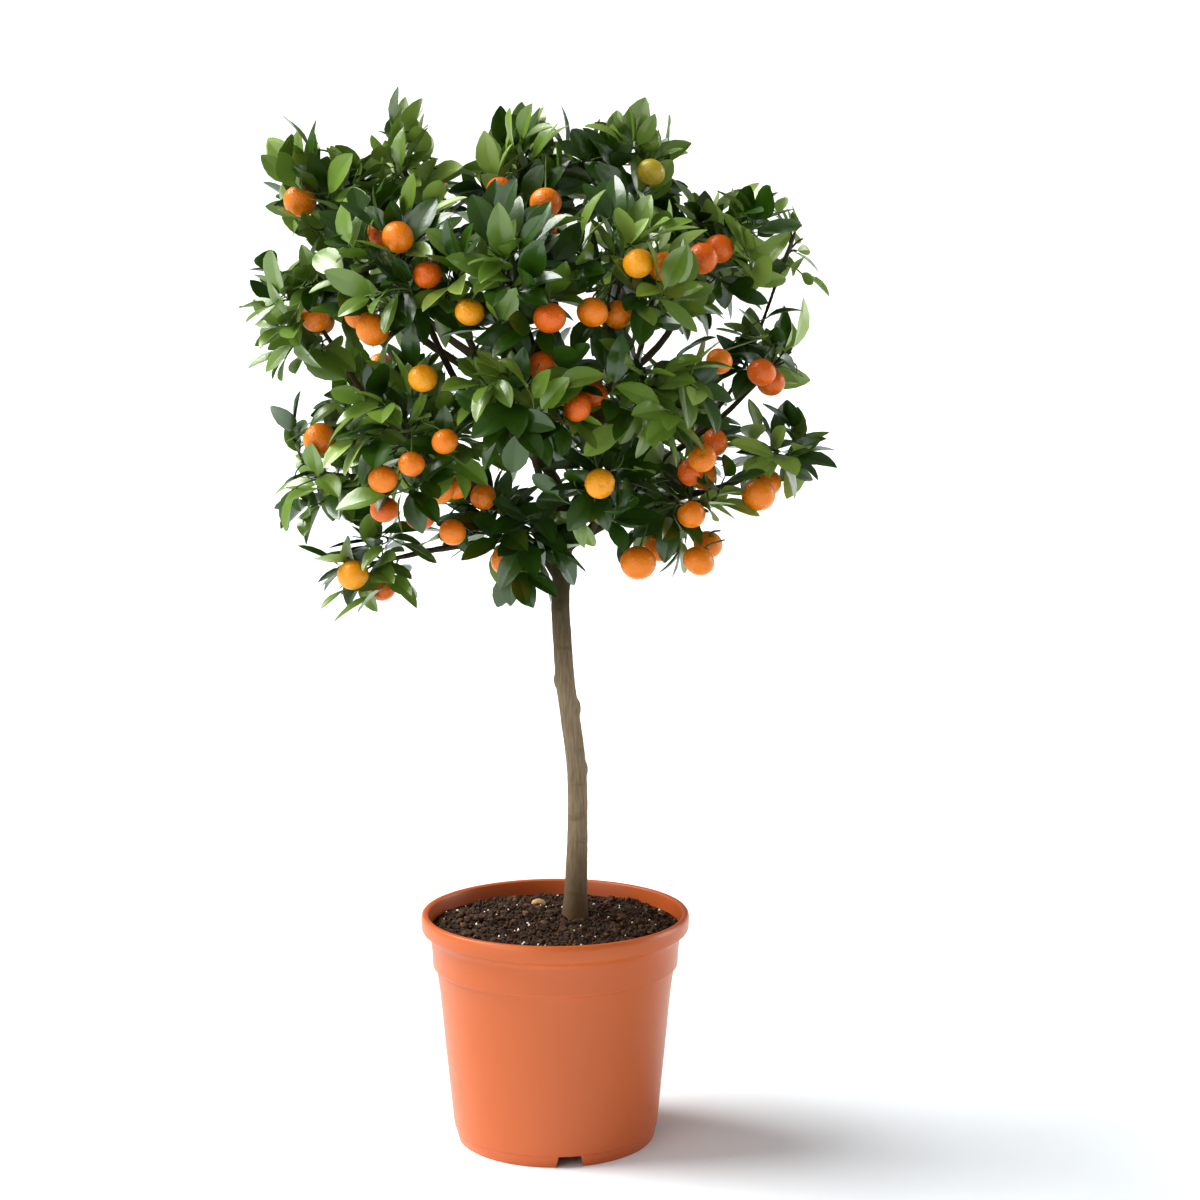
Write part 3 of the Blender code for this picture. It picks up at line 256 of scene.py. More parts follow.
@dataclass(frozen=True)
class CitrusBark(Finish):
    """Bark of a young citrus: thin and grey-brown, with shallow lengthwise cracks.

    It is darker and greener on the boughs and high on the trunk, as young wood and as painted
    shade under the crown; it is dark in its cracks and ringed with old bud scars.
    """

    crack: str = "75654F"
    young_wood_and_shade: str = "312913"
    foot_dark: str = "5A4630"

    def pattern(self, tree: bpy.types.NodeTree, shader: bpy.types.Node) -> None:
        """Lengthwise streaks, rings of scars, a darker foot, and darker young wood above the fork
        that also carries painted shade of the crown.

        Args:
            tree: the material's node tree.
            shader: its surface shader.
        """
        streak = add_node(tree, "ShaderNodeTexNoise",
                          {"Scale": per_mm(1.7), "Detail": 5.0, "Roughness": 0.62},
                          {"Vector": self.place(tree, (1.0, 1.0, 0.10))}).outputs["Fac"]
        cracks = add_node(tree, "ShaderNodeMapRange", {"From Min": 0.34, "From Max": 0.66},
                          {"Value": streak})
        tone = add_node(tree, "ShaderNodeMix",
                        {"data_type": "RGBA", 6: linear(self.crack), 7: linear(self.colour)},
                        {0: cracks.outputs["Result"]})
        rings = add_node(tree, "ShaderNodeTexNoise",
                         {"Scale": per_mm(8.0), "Detail": 3.0, "Roughness": 0.55},
                         {"Vector": self.place(tree, (0.25, 0.25, 1.0))})
        ring = add_node(tree, "ShaderNodeMapRange",
                        {"From Min": 0.58, "From Max": 0.70, "To Min": 0.0, "To Max": 0.8},
                        {"Value": rings.outputs["Fac"]})
        ringed = add_node(tree, "ShaderNodeMix", {"data_type": "RGBA", 7: linear(self.crack)},
                          {0: ring.outputs["Result"], 6: tone.outputs[2]})
        height = add_node(tree, "ShaderNodeSeparateXYZ", None, {"Vector": self.place(tree)})
        # painted shade: from 0.36 m up the bark darkens to the young wood's colour, which also
        # stands for the crown's shade on the upper trunk and boughs
        upper = add_node(tree, "ShaderNodeMapRange",
                         {"From Min": 0.36, "From Max": 0.45, "To Min": 0.0, "To Max": 0.9},
                         {"Value": height.outputs["Z"]})
        # darker towards the foot, from 0.25 m down to the compost
        lower = add_node(tree, "ShaderNodeMapRange",
                         {"From Min": 0.185, "From Max": 0.25, "To Min": 0.85, "To Max": 0.0},
                         {"Value": height.outputs["Z"]})
        foot = add_node(tree, "ShaderNodeMix", {"data_type": "RGBA", 7: linear(self.foot_dark)},
                        {0: lower.outputs["Result"], 6: ringed.outputs[2]})
        add_node(tree, "ShaderNodeMix", {"data_type": "RGBA", 7: linear(self.young_wood_and_shade)},
                 {0: upper.outputs["Result"], 6: foot.outputs[2]},
                 {2: shader.inputs["Base Color"]})
        add_node(tree, "ShaderNodeBump", {"Strength": 0.7, "Distance": 0.35 * MM},
                 {"Height": streak}, {"Normal": shader.inputs["Normal"]})


@dataclass(frozen=True)
class LeafCuticle(Finish):
    """The waxy upper side of a citrus leaf: deep green with clear, slightly broken highlights."""

    def pattern(self, tree: bpy.types.NodeTree, shader: bpy.types.Node) -> None:
        """The leathery unevenness that breaks up the highlights.

        Args:
            tree: the material's node tree.
            shader: its surface shader.
        """
        skin = add_node(tree, "ShaderNodeTexNoise",
                        {"Scale": per_mm(4.0), "Detail": 2.0, "Roughness": 0.55},
                        {"Vector": self.place(tree)})
        add_node(tree, "ShaderNodeBump", {"Strength": 0.6, "Distance": 0.25 * MM},
                 {"Height": skin.outputs["Fac"]}, {"Normal": shader.inputs["Normal"]})


@dataclass(frozen=True)
class CitrusPeel(Finish):
    """Ripening peel: thin and waxy over juicy flesh, with an oil pore every millimetre or so."""

    def pattern(self, tree: bpy.types.NodeTree, shader: bpy.types.Node) -> None:
        """The pores, drawn a little coarser than life so that they show.

        Args:
            tree: the material's node tree.
            shader: its surface shader.
        """
        pores = add_node(tree, "ShaderNodeTexVoronoi", {"Scale": per_mm(1.7)},
                         {"Vector": self.place(tree)})
        add_node(tree, "ShaderNodeBump", {"Strength": 0.8, "Distance": 0.35 * MM},
                 {"Height": pores.outputs["Distance"]}, {"Normal": shader.inputs["Normal"]})


POT_PLASTIC = MouldedPolypropylene("moulded_terracotta_polypropylene", "BC602C", 0.36, 1.5)
COMPOST = PeatCompost("moist_peat_compost", "251A11", 0.95)
CRUMB = PeatCompost("peat_crumbs", "3D2A1B", 0.95, fibre="6E5440")
CLOD = PeatCompost("peat_clods", "36251A", 0.95, fibre="654B36")
PERLITE = Finish("expanded_perlite", "F2EEE4", 0.8, 1.5, 0.2, 0.6)
STONE = Finish("rounded_tan_pebble", "C09A6C", 0.55, 1.5)
CHIP = Finish("composted_bark_chip", "6B4A30", 0.85)
BARK = CitrusBark("citrus_bark", "8F8069", 0.88, 1.35)
YOUNG_WOOD = Finish("olive_citrus_twig", "3A3A1E", 0.6)
GREEN_STEM = Finish("green_citrus_stem", "4F6128", 0.5)
CALYX = Finish("dried_calyx", "5E6A38", 0.7)
STYLE_SCAR = Finish("style_scar", "8A4A14", 0.7)


class Tone(Enum):
    """The tones of the leaves, dealt out by spray. Each has an upper side and an underside."""

    DEEP = (LeafCuticle("leaf_deep_green", "2E4C0B", 0.28, 1.68), "465A30")
    MID = (LeafCuticle("leaf_mid_green", "668030", 0.29, 1.68), "687A48")
    FRESH = (LeafCuticle("leaf_fresh_green", "8AA24E", 0.31, 1.64), "909F6A")

    @property
    def finishes(self) -> tuple[Finish, Finish, Finish]:
        """The upper side, the underside and the midrib with the petiole.

        Returns:
            the three finishes, in that order.
        """
        upper, under = self.value
        below = Finish(f"{upper.name}_underside", under, 0.62, 1.4)
        rib = Finish(f"{upper.name}_midrib", "7F9B4C", 0.45, 1.45)
        return upper, below, rib


class Ripeness(Enum):
    """How ripe a fruit is, which gives the colour of its peel."""

    ORANGE = "D7790F"
    DEEP = "CB600B"
    AMBER = "DF9618"
    TURNING = "A8932A"
    GREEN = "5E7426"

    @property
    def finish(self) -> CitrusPeel:
        """The peel in that colour."""
        return CitrusPeel(f"peel_{self.name.lower()}", self.value, 0.33, 1.47, 0.10, 3.0)


# ---------------------------------------------------------------- mesh tools

def mesh_object(name: str, corners: Sequence, faces: Sequence,
                slots: Sequence[int] | None = None, smooth: bool = True) -> bpy.types.Object:
    """Make an object from joined arrays.

    Args:
        name: the object's name.
        corners: an array or list of places.
        faces: lists of corner numbers, facing outwards.
        slots: the material slot of each face.
        smooth: whether the faces are shaded smooth.

    Returns:
        The object, linked to the scene.
    """
    mesh = bpy.data.meshes.new(name)
    mesh.from_pydata([tuple(map(float, place)) for place in corners], [], faces)
    if slots is not None:
        mesh.polygons.foreach_set("material_index", list(slots))
    mesh.polygons.foreach_set("use_smooth", [smooth] * len(faces))
    mesh.update()
    thing = bpy.data.objects.new(name, mesh)
    bpy.context.scene.collection.objects.link(thing)
    return thing


def remove_object(thing: bpy.types.Object) -> None:
    """Remove an object with its mesh or curve.

    Args:
        thing: the object.
    """
    data = thing.data
    bpy.data.objects.remove(thing)
    if data.users == 0:
        (bpy.data.meshes if isinstance(data, bpy.types.Mesh) else bpy.data.curves).remove(data)


def pick(*things: bpy.types.Object) -> bpy.types.Object:
    """Select these objects alone and make the first active.

    Args:
        *things: the objects.

    Returns:
        the active one.
    """
    bpy.ops.object.select_all(action="DESELECT")
    for thing in things:
        thing.select_set(True)
    bpy.context.view_layer.objects.active = things[0]
    return things[0]


def apply_modifier(thing: bpy.types.Object, kind: str, **settings: object) -> None:
    """Add one modifier to an object with these settings and apply it.

    Args:
        thing: the object.
        kind: the modifier's type.
        **settings: its settings by name.
    """
    pick(thing)
    bpy.ops.object.modifier_add(type=kind)
    modifier = thing.modifiers[-1]
    for key, value in settings.items():
        setattr(modifier, key, value)
    bpy.ops.object.modifier_apply(modifier=modifier.name)


def primitive(add: Callable, **settings: object) -> bpy.types.Object:
    """Add one primitive with nothing else selected, and return it.

    Args:
        add: the operator that adds it.
        **settings: the operator's settings.

    Returns:
        the new object.
    """
    bpy.ops.object.select_all(action="DESELECT")
    add(**settings)
    return bpy.context.object


def roughen(thing: bpy.types.Object, name: str, size_mm: float, depth_mm: float,
            noise: dict | None = None, **settings: object) -> None:
    """Raise and lower an object's surface by a cloud pattern.

    Args:
        thing: the object.
        name: the pattern's name.
        size_mm: the size of its lumps in millimetres.
        depth_mm: how far apart its highest and lowest places are, in millimetres.
        noise: other settings of the pattern.
        settings: other settings of the modifier.
    """
    clouds = bpy.data.textures.new(name, "CLOUDS")
    clouds.noise_scale = size_mm * MM
    for key, value in (noise or {}).items():
        setattr(clouds, key, value)
    apply_modifier(thing, "DISPLACE", texture=clouds, texture_coords="LOCAL",
                   strength=depth_mm * MM, mid_level=0.5, **settings)


def smooth_by_angle(thing: bpy.types.Object, degrees: float) -> None:
    """Shade an object smooth, except where its faces meet more sharply than an angle."""
    pick(thing)
    bpy.ops.object.shade_smooth_by_angle(angle=math.radians(degrees))


def taken_apart(form: bpy.types.Object) -> tuple[np.ndarray, list[list[int]], list[int]]:
    """An object's corners, faces and material slots, after which it is removed.

    Args:
        form: the object.

    Returns:
        its corners, faces and slots.
    """
    corners = np.array([corner.co[:] for corner in form.data.vertices])
    faces = [list(face.vertices) for face in form.data.polygons]
    slots = [face.material_index for face in form.data.polygons]
    remove_object(form)
    return corners, faces, slots


def settle(thing: bpy.types.Object) -> None:
    """Put an object's place, turn and size into its mesh."""
    pick(thing)
    bpy.ops.object.transform_apply(location=True, rotation=True, scale=True)


def dress(thing: bpy.types.Object, name: str, slot: str, nodes: Iterable[str],
          *finishes: Finish) -> bpy.types.Object:
    """Name a finished piece, give it its finishes and hang it on the frame.

    Args:
        thing: the piece, with its place in its mesh.
        name: the piece's name.
        slot: the name of a material slot in the record; not used.
        nodes: the CAD nodes that it stands for.
        finishes: the finishes of its material slots, in order.

    Returns:
        The same piece.
    """
    thing.name = name
    thing.data.name = name
    thing.data.materials.clear()
    for finish in finishes:
        thing.data.materials.append(finish.material())
    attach(thing, BODY)
    nodes = list(nodes)
    if nodes:
        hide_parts(*nodes)
    LOG.info("%s: %d faces", name, len(thing.data.polygons))
    return thing


@dataclass
class Batch:
    """Many small things gathered as arrays, to become one joined mesh."""

    corners: list = field(default_factory=list)
    faces: list = field(default_factory=list)
    slots: list = field(default_factory=list)

    def add(self, corners: Iterable, faces: Iterable[Sequence[int]],
            slots: Iterable[int] | int = 0) -> None:
        """Add one thing.

        Args:
            corners: its places.
            faces: its faces, by its own corner numbers.
            slots: the material slot of each face, or of all.
        """
        first = len(self.corners)
        self.corners.extend(corners)
        before = len(self.faces)
        self.faces.extend([first + i for i in face] for face in faces)
        added = len(self.faces) - before
        self.slots.extend([slots] * added if isinstance(slots, int) else slots)

    def add_tube(self, line: Sequence[Vector], radii: Sequence[float], sides: int,
                 slot: int = 0) -> None:
        """Add a tapering tube with closed ends along a line.

        Args:
            line: its middle line.
            radii: its radius at each point.
            sides: how many sides it has.
            slot: its material slot.
        """
        corners: list[Vector] = []
        last = len(line) - 1
        across = None
        for i, place in enumerate(line):
            way = (line[min(i + 1, last)] - line[max(i - 1, 0)]).normalized()
            across = way.orthogonal() if across is None else across - way * across.dot(way)
            across.normalize()
            other = way.cross(across)
            for step in range(sides):
                turn = math.tau * step / sides
                spoke = math.cos(turn) * across + math.sin(turn) * other
                corners.append(place + radii[i] * spoke)
        faces = [[i * sides + s, i * sides + (s + 1) % sides, (i + 1) * sides + (s + 1) % sides,
                  (i + 1) * sides + s] for i in range(last) for s in range(sides)]
        faces.append(list(range(sides))[::-1])
        faces.append([last * sides + s for s in range(sides)])
        self.add(corners, faces, slot)

    def build(self, name: str, smooth: bool = True) -> bpy.types.Object:
        """The joined mesh as an object."""
        return mesh_object(name, self.corners, self.faces, self.slots, smooth)




# ---------------------------------------------------------------- the plant's named sizes

@dataclass(frozen=True)
class MassPlan:
    """One mass of leaves and the bough that carries it. Lengths are in millimetres."""

    name: str
    centre: tuple
    reach: tuple
    parent: str
    along: float
    bends: tuple = ()
    base: float = 3.6
    shoots: int = 5
    leaves: int = 168
    fresh: float = 0.10
    spread: float = 1.0                 # share of the reach that its twigs and leaves fill
    leaf_size: float = 1.0
    slender: float = 1.0                # its bough's thickness, of the solid's
    veiled: tuple = ()                  # the fruit that leaves may hide, by number
    tips: tuple = ()
    sprays: tuple = ()                  # where fine twigs grow before any others
    fruit: tuple = ()
    seed: int = 1

    @property
    def middle(self) -> Vector:
        """The centre in metres."""
        return Vector(self.centre) * MM

    @property
    def mean_reach(self) -> float:
        """The mean half-size in metres."""
        return sum(self.reach) / 3.0 * MM


MASSES: tuple[MassPlan, ...] = (
    MassPlan("top_right", (64, 0, 790), (54, 58, 56), "trunk", 0.995, leaves=120,
         bends=((13, 14, 512), (27, 10, 545), (34, 4, 620), (48, 2, 700)), base=6.6,
         tips=((-5, 0, 52), (27, -10, 22), (-20, 10, 38)),
         fruit=((11, -48, -7, 11), (10, -22, 19, 10.3))),
    MassPlan("top_left", (-120, 20, 793), (48, 58, 56), "trunk", 0.965,
         leaves=112, fresh=0.35,
         bends=((3, 14, 536), (-18, 12, 563), (-38, 14, 592), (-84, 18, 690)), base=5.2,
         tips=((0, -18, 58), (-14, -10, 44), (-44, 0, 4)),
         fruit=((22, 48, -16, 12),)),
    MassPlan("right_low", (185, 0, 560), (50, 56, 48), "trunk", 0.985,
         leaves=80, fresh=0.34, spread=0.86,
         bends=((40, 10, 506), (64, 6, 512), (88, 3, 525), (136, 0, 537)), base=4.8,
         tips=((44, 10, 12), (42, -10, -6), (24, -20, -26)),
         fruit=((-24, -34, -27, 13.6), (-12, 26, -22, 12))),
    MassPlan("left_low", (-182, 0, 548), (50, 55, 44), "trunk", 0.93, leaves=82, fresh=0.0,
         sprays=((-24, -12, 34), (-6, -20, 36)),
         bends=((-20, 10, 515), (-62, 6, 530), (-112, 2, 540)), base=4.6,
         tips=((-46, -5, 4), (-44, 0, -28), (-38, -25, 42)),
         fruit=((-1, -42, 30, 13.4),)),
    MassPlan("back_centre_low", (-18, 162, 600), (60, 48, 56), "trunk", 0.95,
         bends=((2, 48, 530), (-6, 84, 556)), base=4.6,
         tips=((0, 50, 0), (-30, 40, -30)),
         fruit=((24, 34, -22, 12), (-8, 36, 30, 12.5))),
    MassPlan("lowest_left", (-145, -20, 478), (42, 44, 36), "trunk", 0.90, leaves=85,
         sprays=((10, -14, 36), (-14, -16, 36)),
         bends=((-22, 10, 494), (-58, 0, 492), (-92, -8, 488)), base=3.8,
         tips=((-18, 0, -44), (-34, 0, 8), (22, 0, -34)),
         fruit=((-13, -28, -6, 12.6), (8, 6, -21, 11))),
    MassPlan("right_mid", (178, 0, 636), (52, 58, 44), "right_low", 0.14,
         leaves=78, fresh=0.5, spread=0.84, slender=0.85, veiled=(0,),
         sprays=((-36, -24, 26), (-10, -24, 36), (-46, -10, 4)),
         bends=((58, 14, 536), (108, 10, 572), (136, 6, 594)), base=4.2,
         tips=((46, 10, 24), (48, 0, -6), (40, -10, 40)),
         fruit=((-51, -68, 3, 10.5), (-17, -52, -6, 11.5), (-7, -24, -15, 11.2))),
    MassPlan("upper_left", (-184, 0, 762), (54, 60, 56), "top_left", 0.52, leaves=84,
         tips=((-30, 0, 58), (-50, -10, 44), (-2, -10, 60), (-48, 0, 4)),
         fruit=((-13, -25, 0, 13),)),
    MassPlan("top_centre", (-26, 0, 788), (54, 60, 56), "top_left", 0.42,
         fresh=0.3, veiled=(0, 1),
         tips=((0, 0, 52), (18, -10, 52), (-30, -10, 34), (38, 10, 40)),
         fruit=((20, -70, -29, 12.3), (-15, -48, -19, 11))),
    MassPlan("right_upper", (130, 0, 730), (50, 58, 50), "top_right", 0.46, leaves=120,
         fresh=0.6,
         sprays=((8, -24, -40), (28, -20, -34), (-22, -26, -34)),
         tips=((44, -5, 38), (10, 0, 44)),
         fruit=((-17, -72, -13, 12), (-2, -42, -5, 11.7), (14, 44, -8, 12))),
    MassPlan("right_shoot", (192, 34, 732), (28, 30, 48), "right_mid", 0.62,
         leaves=46, fresh=0.9, spread=0.9, leaf_size=0.62, slender=0.62,
         sprays=((-18, -8, -30),),
         tips=((0, 4, 46), (-12, 4, 40), (46, 26, -12), (6, 4, 24))),
    MassPlan("left", (-194, -20, 680), (46, 58, 48), "left_low", 0.42, leaves=100, veiled=(0,),
         sprays=((-16, -14, -40), (14, -20, -38), (-28, -20, 0), (-22, -10, 30)),
         tips=((-44, -4, 16), (-40, 0, -16), (-36, 8, 44)),
         fruit=((11, -38, -8, 11.5), (6, 46, -12, 12))),
    MassPlan("low_right", (107, -30, 526), (54, 50, 44), "right_low", 0.46, fresh=0.3,
         veiled=(0, 2),
         tips=((-20, -10, -34), (30, -20, -34)),
         fruit=((6, -58, 40, 11), (-1, -28, 27, 11), (10, -6, 22, 11), (19, -10, 49, 11),
                (-1, -40, -5, 11.2), (-42, -36, -43, 14.2), (-24, -6, -34, 12.6),
                (6, -24, -43, 12.8), (15, 4, -33, 11.8))),
    MassPlan("low_centre_left", (-44, -34, 500), (56, 56, 46), "lowest_left", 0.28,
         veiled=(1,),
         sprays=((42, -14, -6), (34, -20, 22), (10, -20, -30)),
         tips=((0, 10, -60), (28, 20, -40)),
         fruit=((-34, -50, 9, 10.5), (-11, -34, 35, 10.5), (7, -16, -16, 13.2))),
    MassPlan("front_left_up", (-112, -118, 708), (56, 50, 56), "top_left", 0.34,
         fruit=((-1, -34, 23, 12), (-15, -4, 27, 11.2), (20, -32, -4, 10.6), (-34, 20, -34, 11.4),
                (-22, -10, -44, 12.7))),
    MassPlan("front_centre_up", (-32, -150, 700), (54, 46, 56), "top_right", 0.36, veiled=(0,),
         tips=((0, -52, 0),),
         fruit=((-29, -10, -23, 11), (29, -28, -27, 12))),
    MassPlan("front_right_up", (50, -132, 706), (54, 48, 54), "top_right", 0.50, veiled=(2, 4),
         fruit=((-22, -28, -29, 11.7), (-3, -2, -31, 11.1), (-44, 34, 32, 12), (11, -36, 6, 11.4),
                (30, -10, 4, 11))),
    MassPlan("front_left_low", (-108, -116, 582), (58, 50, 54), "left_low", 0.30, veiled=(1, 5),
         fruit=((12, -34, 47, 11), (28, -40, 1, 10), (3, -34, -16, 10), (-19, -22, -28, 11.2),
                (-20, 4, -53, 11), (22, -4, -38, 11.2), (34, 24, -37, 11.2), (6, 20, -60, 11.4))),
    MassPlan("front_centre", (-25, -150, 616), (52, 46, 48), "top_left", 0.16, veiled=(1,),
         tips=((0, -50, 0),),
         fruit=((16, 0, 22, 11), (42, -10, -8, 11))),
    MassPlan("front_right", (66, -118, 622), (58, 48, 48), "right_mid", 0.34, fresh=0.2,
         veiled=(0,),
         fruit=((-37, -12, -5, 11.2),)),
    MassPlan("front_low_centre", (38, -92, 548), (46, 44, 40), "right_low", 0.12, fresh=0.3,
         sprays=((-20, 0, -34), (6, 4, -36), (-36, 0, -10)),
         fruit=((-4, -40, 2, 11.5),)),
    MassPlan("back_left_up", (-140, 128, 726), (62, 52, 60), "top_left", 0.60,
         fruit=((16, 42, -24, 12.5),)),
    MassPlan("back_centre_up", (-30, 160, 738), (58, 48, 60), "back_centre_low", 0.55,
         tips=((0, 50, 0), (10, 30, 40)),
         fruit=((14, 36, -14, 12.5),)),
    MassPlan("back_right_up", (92, 134, 716), (60, 52, 58), "top_right", 0.28,
         fruit=((36, 16, 20, 12.5),)),
    MassPlan("back_left_low", (-140, 128, 588), (60, 52, 58), "left_low", 0.22,
         fruit=((-8, 44, -8, 12.5), (-10, 40, 40, 12))),
    MassPlan("back_right_low", (90, 134, 574), (60, 52, 56), "right_low", 0.30,
         fruit=((6, 42, -2, 12), (36, 22, -30, 12.5))),
)

# The fruit that aren't plain orange, by mass and place in its list.
RIPENESS = {
    ("top_right", 0): Ripeness.TURNING,
    ("top_right", 1): Ripeness.GREEN,
    ("upper_left", 0): Ripeness.ORANGE,
    ("front_centre_up", 0): Ripeness.AMBER,
    ("front_right_up", 3): Ripeness.AMBER,
    ("front_low_centre", 0): Ripeness.AMBER,
    ("lowest_left", 0): Ripeness.AMBER,
    ("lowest_left", 1): Ripeness.DEEP,
    ("front_left_low", 0): Ripeness.AMBER,
    ("back_left_up", 0): Ripeness.TURNING,
    ("back_right_up", 0): Ripeness.AMBER,
}

TRUNK_LINE = (
    (16.2, 15.0, 176.0, 12.4),
    (16.4, 15.0, 186.0, 10.9),
    (17.0, 15.0, 202.0, 9.6),
    (18.4, 15.5, 253.0, 8.5),
    (17.8, 16.0, 303.0, 8.2),
    (12.4, 16.0, 348.0, 8.1),
    (8.4, 16.0, 378.0, 8.0),
    (6.2, 16.0, 412.0, 7.8),
    (4.8, 16.0, 437.0, 7.6),
    (5.6, 16.0, 462.0, 7.6),
    (7.5, 16.0, 489.0, 7.3),
)
TRUNK_KNOTS = ((0.635, 175.0, 5.0), (0.565, 5.0, 5.4), (0.39, 0.0, 5.0), (0.91, 5.0, 4.6),
               (0.83, -100.0, 4.8), (0.12, 20.0, 5.0))
SOIL_SEAT = 181.7 * MM              # flat spot that the trunk stands on
GROUND = SOIL_SEAT + GAP            # the flat cut under the trunk
BOUGH_TIP_RADIUS = 2.3 * MM
BOUGH_STEPS = 1                     # straight lengths between two bends
SHOOT_RADIUS = 1.3 * MM
CLEAR_OF_LIMBS = 0.8 * MM
STALK_LIFTS = (0.7, 0.3, 0.0, -0.4)  # how far a stalk enters its fruit from above
BOUGH_BEND = 0.42                   # place of its bend, as a share of its length
BOUGH_OUT = 0.10                    # how far it swings outwards, as a share of its length
BOUGH_SAG = 0.07                    # how far it sags, as a share of its length
BOUGH_END = 0.62                    # its end's distance from its mass's middle, of the reach
BOW = 0.45                          # length over which a shoot keeps its first heading
STEM_SHIFT = 16.0 * MM              # how far a stem turns aside from a limb in its way
STEM_CLEAR = 3.5 * MM
STEM_TRIES = 40
SHOOT_REACH = (0.62, 0.86)
SHOOT_SPREAD = 26.0 * MM            # between the ends of two shoots
SHOOT_ROOTS = (0.30, 0.96)          # the stretch of the stem that bears shoots
SHOOT_CLEAR = 2.2 * MM
BEHIND = 0.35                       # no shoot points back to its bough more than this
STALK_ROOTS = (0.25, 0.4, 0.55, 0.7, 0.85)
STALK_CLEAR = 1.2 * MM
STALK_BEND = 14.0 * MM              # how far a stalk's knee lies aside
STALK_KNEES = 12                    # knees tried from each root
STALK_DEPTH = 0.7                   # where a stalk ends, of the fruit's radius
STALK_DOOR = 1.5 * MM               # it aims at a spot this far outside the fruit
SPACE_MARGIN = 0.6 * MM             # kept to the boundary with the next mass
CROWN_LOW = Vector((-0.240, -0.221, 0.425))
CROWN_HIGH = Vector((0.240, 0.221, 0.853))
CROWN_MIDDLE = Vector((0.0, 0.0, 0.630))
VIEWPOINT = Vector((0.0, -1.875, 0.688))
# A viewer in front sees sky through these gaps: side, height, half-width, half-height.
GAPS = (
    (102.0, 660.0, 24.0, 15.0),
    (-163.0, 607.0, 10.0, 12.0),
    (-172.0, 578.0, 11.0, 12.0),
    (-12.0, 528.0, 13.0, 15.0),
    (60.0, 500.0, 17.0, 9.0),
    (-76.0, 778.0, 10.0, 18.0),
    (-118.0, 716.0, 8.0, 8.0),
    (150.0, 690.0, 9.0, 12.0),
    (150.0, 590.0, 9.0, 10.0),
)
# The bays in the crown's outline, in the same way.
BAYS = (
    (-155.0, 842.0, 12.0, 42.0),
    (-77.0, 845.0, 17.0, 50.0),
    (29.0, 847.0, 10.0, 26.0),
    (143.0, 834.0, 30.0, 58.0),
    (106.0, 848.0, 22.0, 25.0),
    (212.0, 755.0, 18.0, 31.0),
    (219.0, 609.0, 21.0, 19.0),
    (198.0, 478.0, 50.0, 39.0),
    (-236.0, 743.0, 19.0, 14.0),
    (-236.0, 838.0, 20.0, 31.0),
    (-225.0, 570.0, 19.0, 11.0),
    (-222.0, 453.0, 34.0, 37.0),
    (-80.0, 436.0, 27.0, 37.0),
    (46.0, 419.0, 31.0, 39.0),
    (95.0, 419.0, 47.0, 40.0),
)

# The crown's outline as a viewer in front sees it: side and height, in millimetres.
EDGE = (
    (-241, 810), (-229, 813), (-216, 832), (-202, 833), (-194, 819), (-181, 829), (-169, 819),
    (-163, 802), (-147, 801), (-141, 821), (-131, 835), (-123, 853), (-111, 854), (-103, 846),
    (-97, 826), (-92, 798), (-80, 789), (-66, 793), (-59, 810), (-53, 829), (-42, 840),
    (-18, 840), (4, 838), (19, 829), (29, 821), (39, 830), (48, 841), (59, 846), (74, 844),
    (85, 832), (109, 826), (117, 815), (108, 801), (95, 793), (101, 776), (119, 772), (135, 776),
    (149, 773), (163, 779), (199, 776), (201, 761), (195, 739), (205, 725), (233, 722),
    (235, 705), (226, 685), (229, 668), (230, 630), (203, 621), (187, 609), (211, 590),
    (227, 577), (228, 550), (207, 529), (190, 513), (156, 512), (151, 494), (140, 465),
    (113, 458), (71, 455), (54, 470), (46, 475), (37, 455), (4, 444), (-12, 431), (-30, 418),
    (-39, 426), (-50, 446), (-57, 467), (-92, 477), (-105, 462), (-112, 436), (-128, 441),
    (-147, 435), (-165, 417), (-184, 426), (-195, 454), (-187, 474), (-204, 485), (-223, 491),
    (-234, 524), (-238, 557), (-227, 570), (-207, 578), (-233, 581), (-229, 603), (-212, 614),
    (-238, 622), (-249, 640), (-252, 668), (-252, 703), (-246, 725), (-230, 736), (-211, 737),
    (-208, 746), (-230, 754), (-234, 765), (-226, 771), (-235, 787),
)
EDGE_TREE = BVHTree.FromPolygons([(x * MM, 0.0, z * MM) for x, z in EDGE], [range(len(EDGE))])
# Sky that only the leaves and fine twigs leave open, as in GAPS.
SMALL_GAPS = (
    (87.0, 651.0, 18.0, 11.0),
    (142.0, 497.0, 18.0, 11.0),
    (-178.0, 501.0, 14.0, 9.0),
    (205.0, 642.0, 12.0, 20.0),
    (205.0, 532.0, 10.0, 9.0),
    (-210.0, 722.0, 12.0, 11.0),
    (-215.0, 556.0, 9.0, 15.0),
)


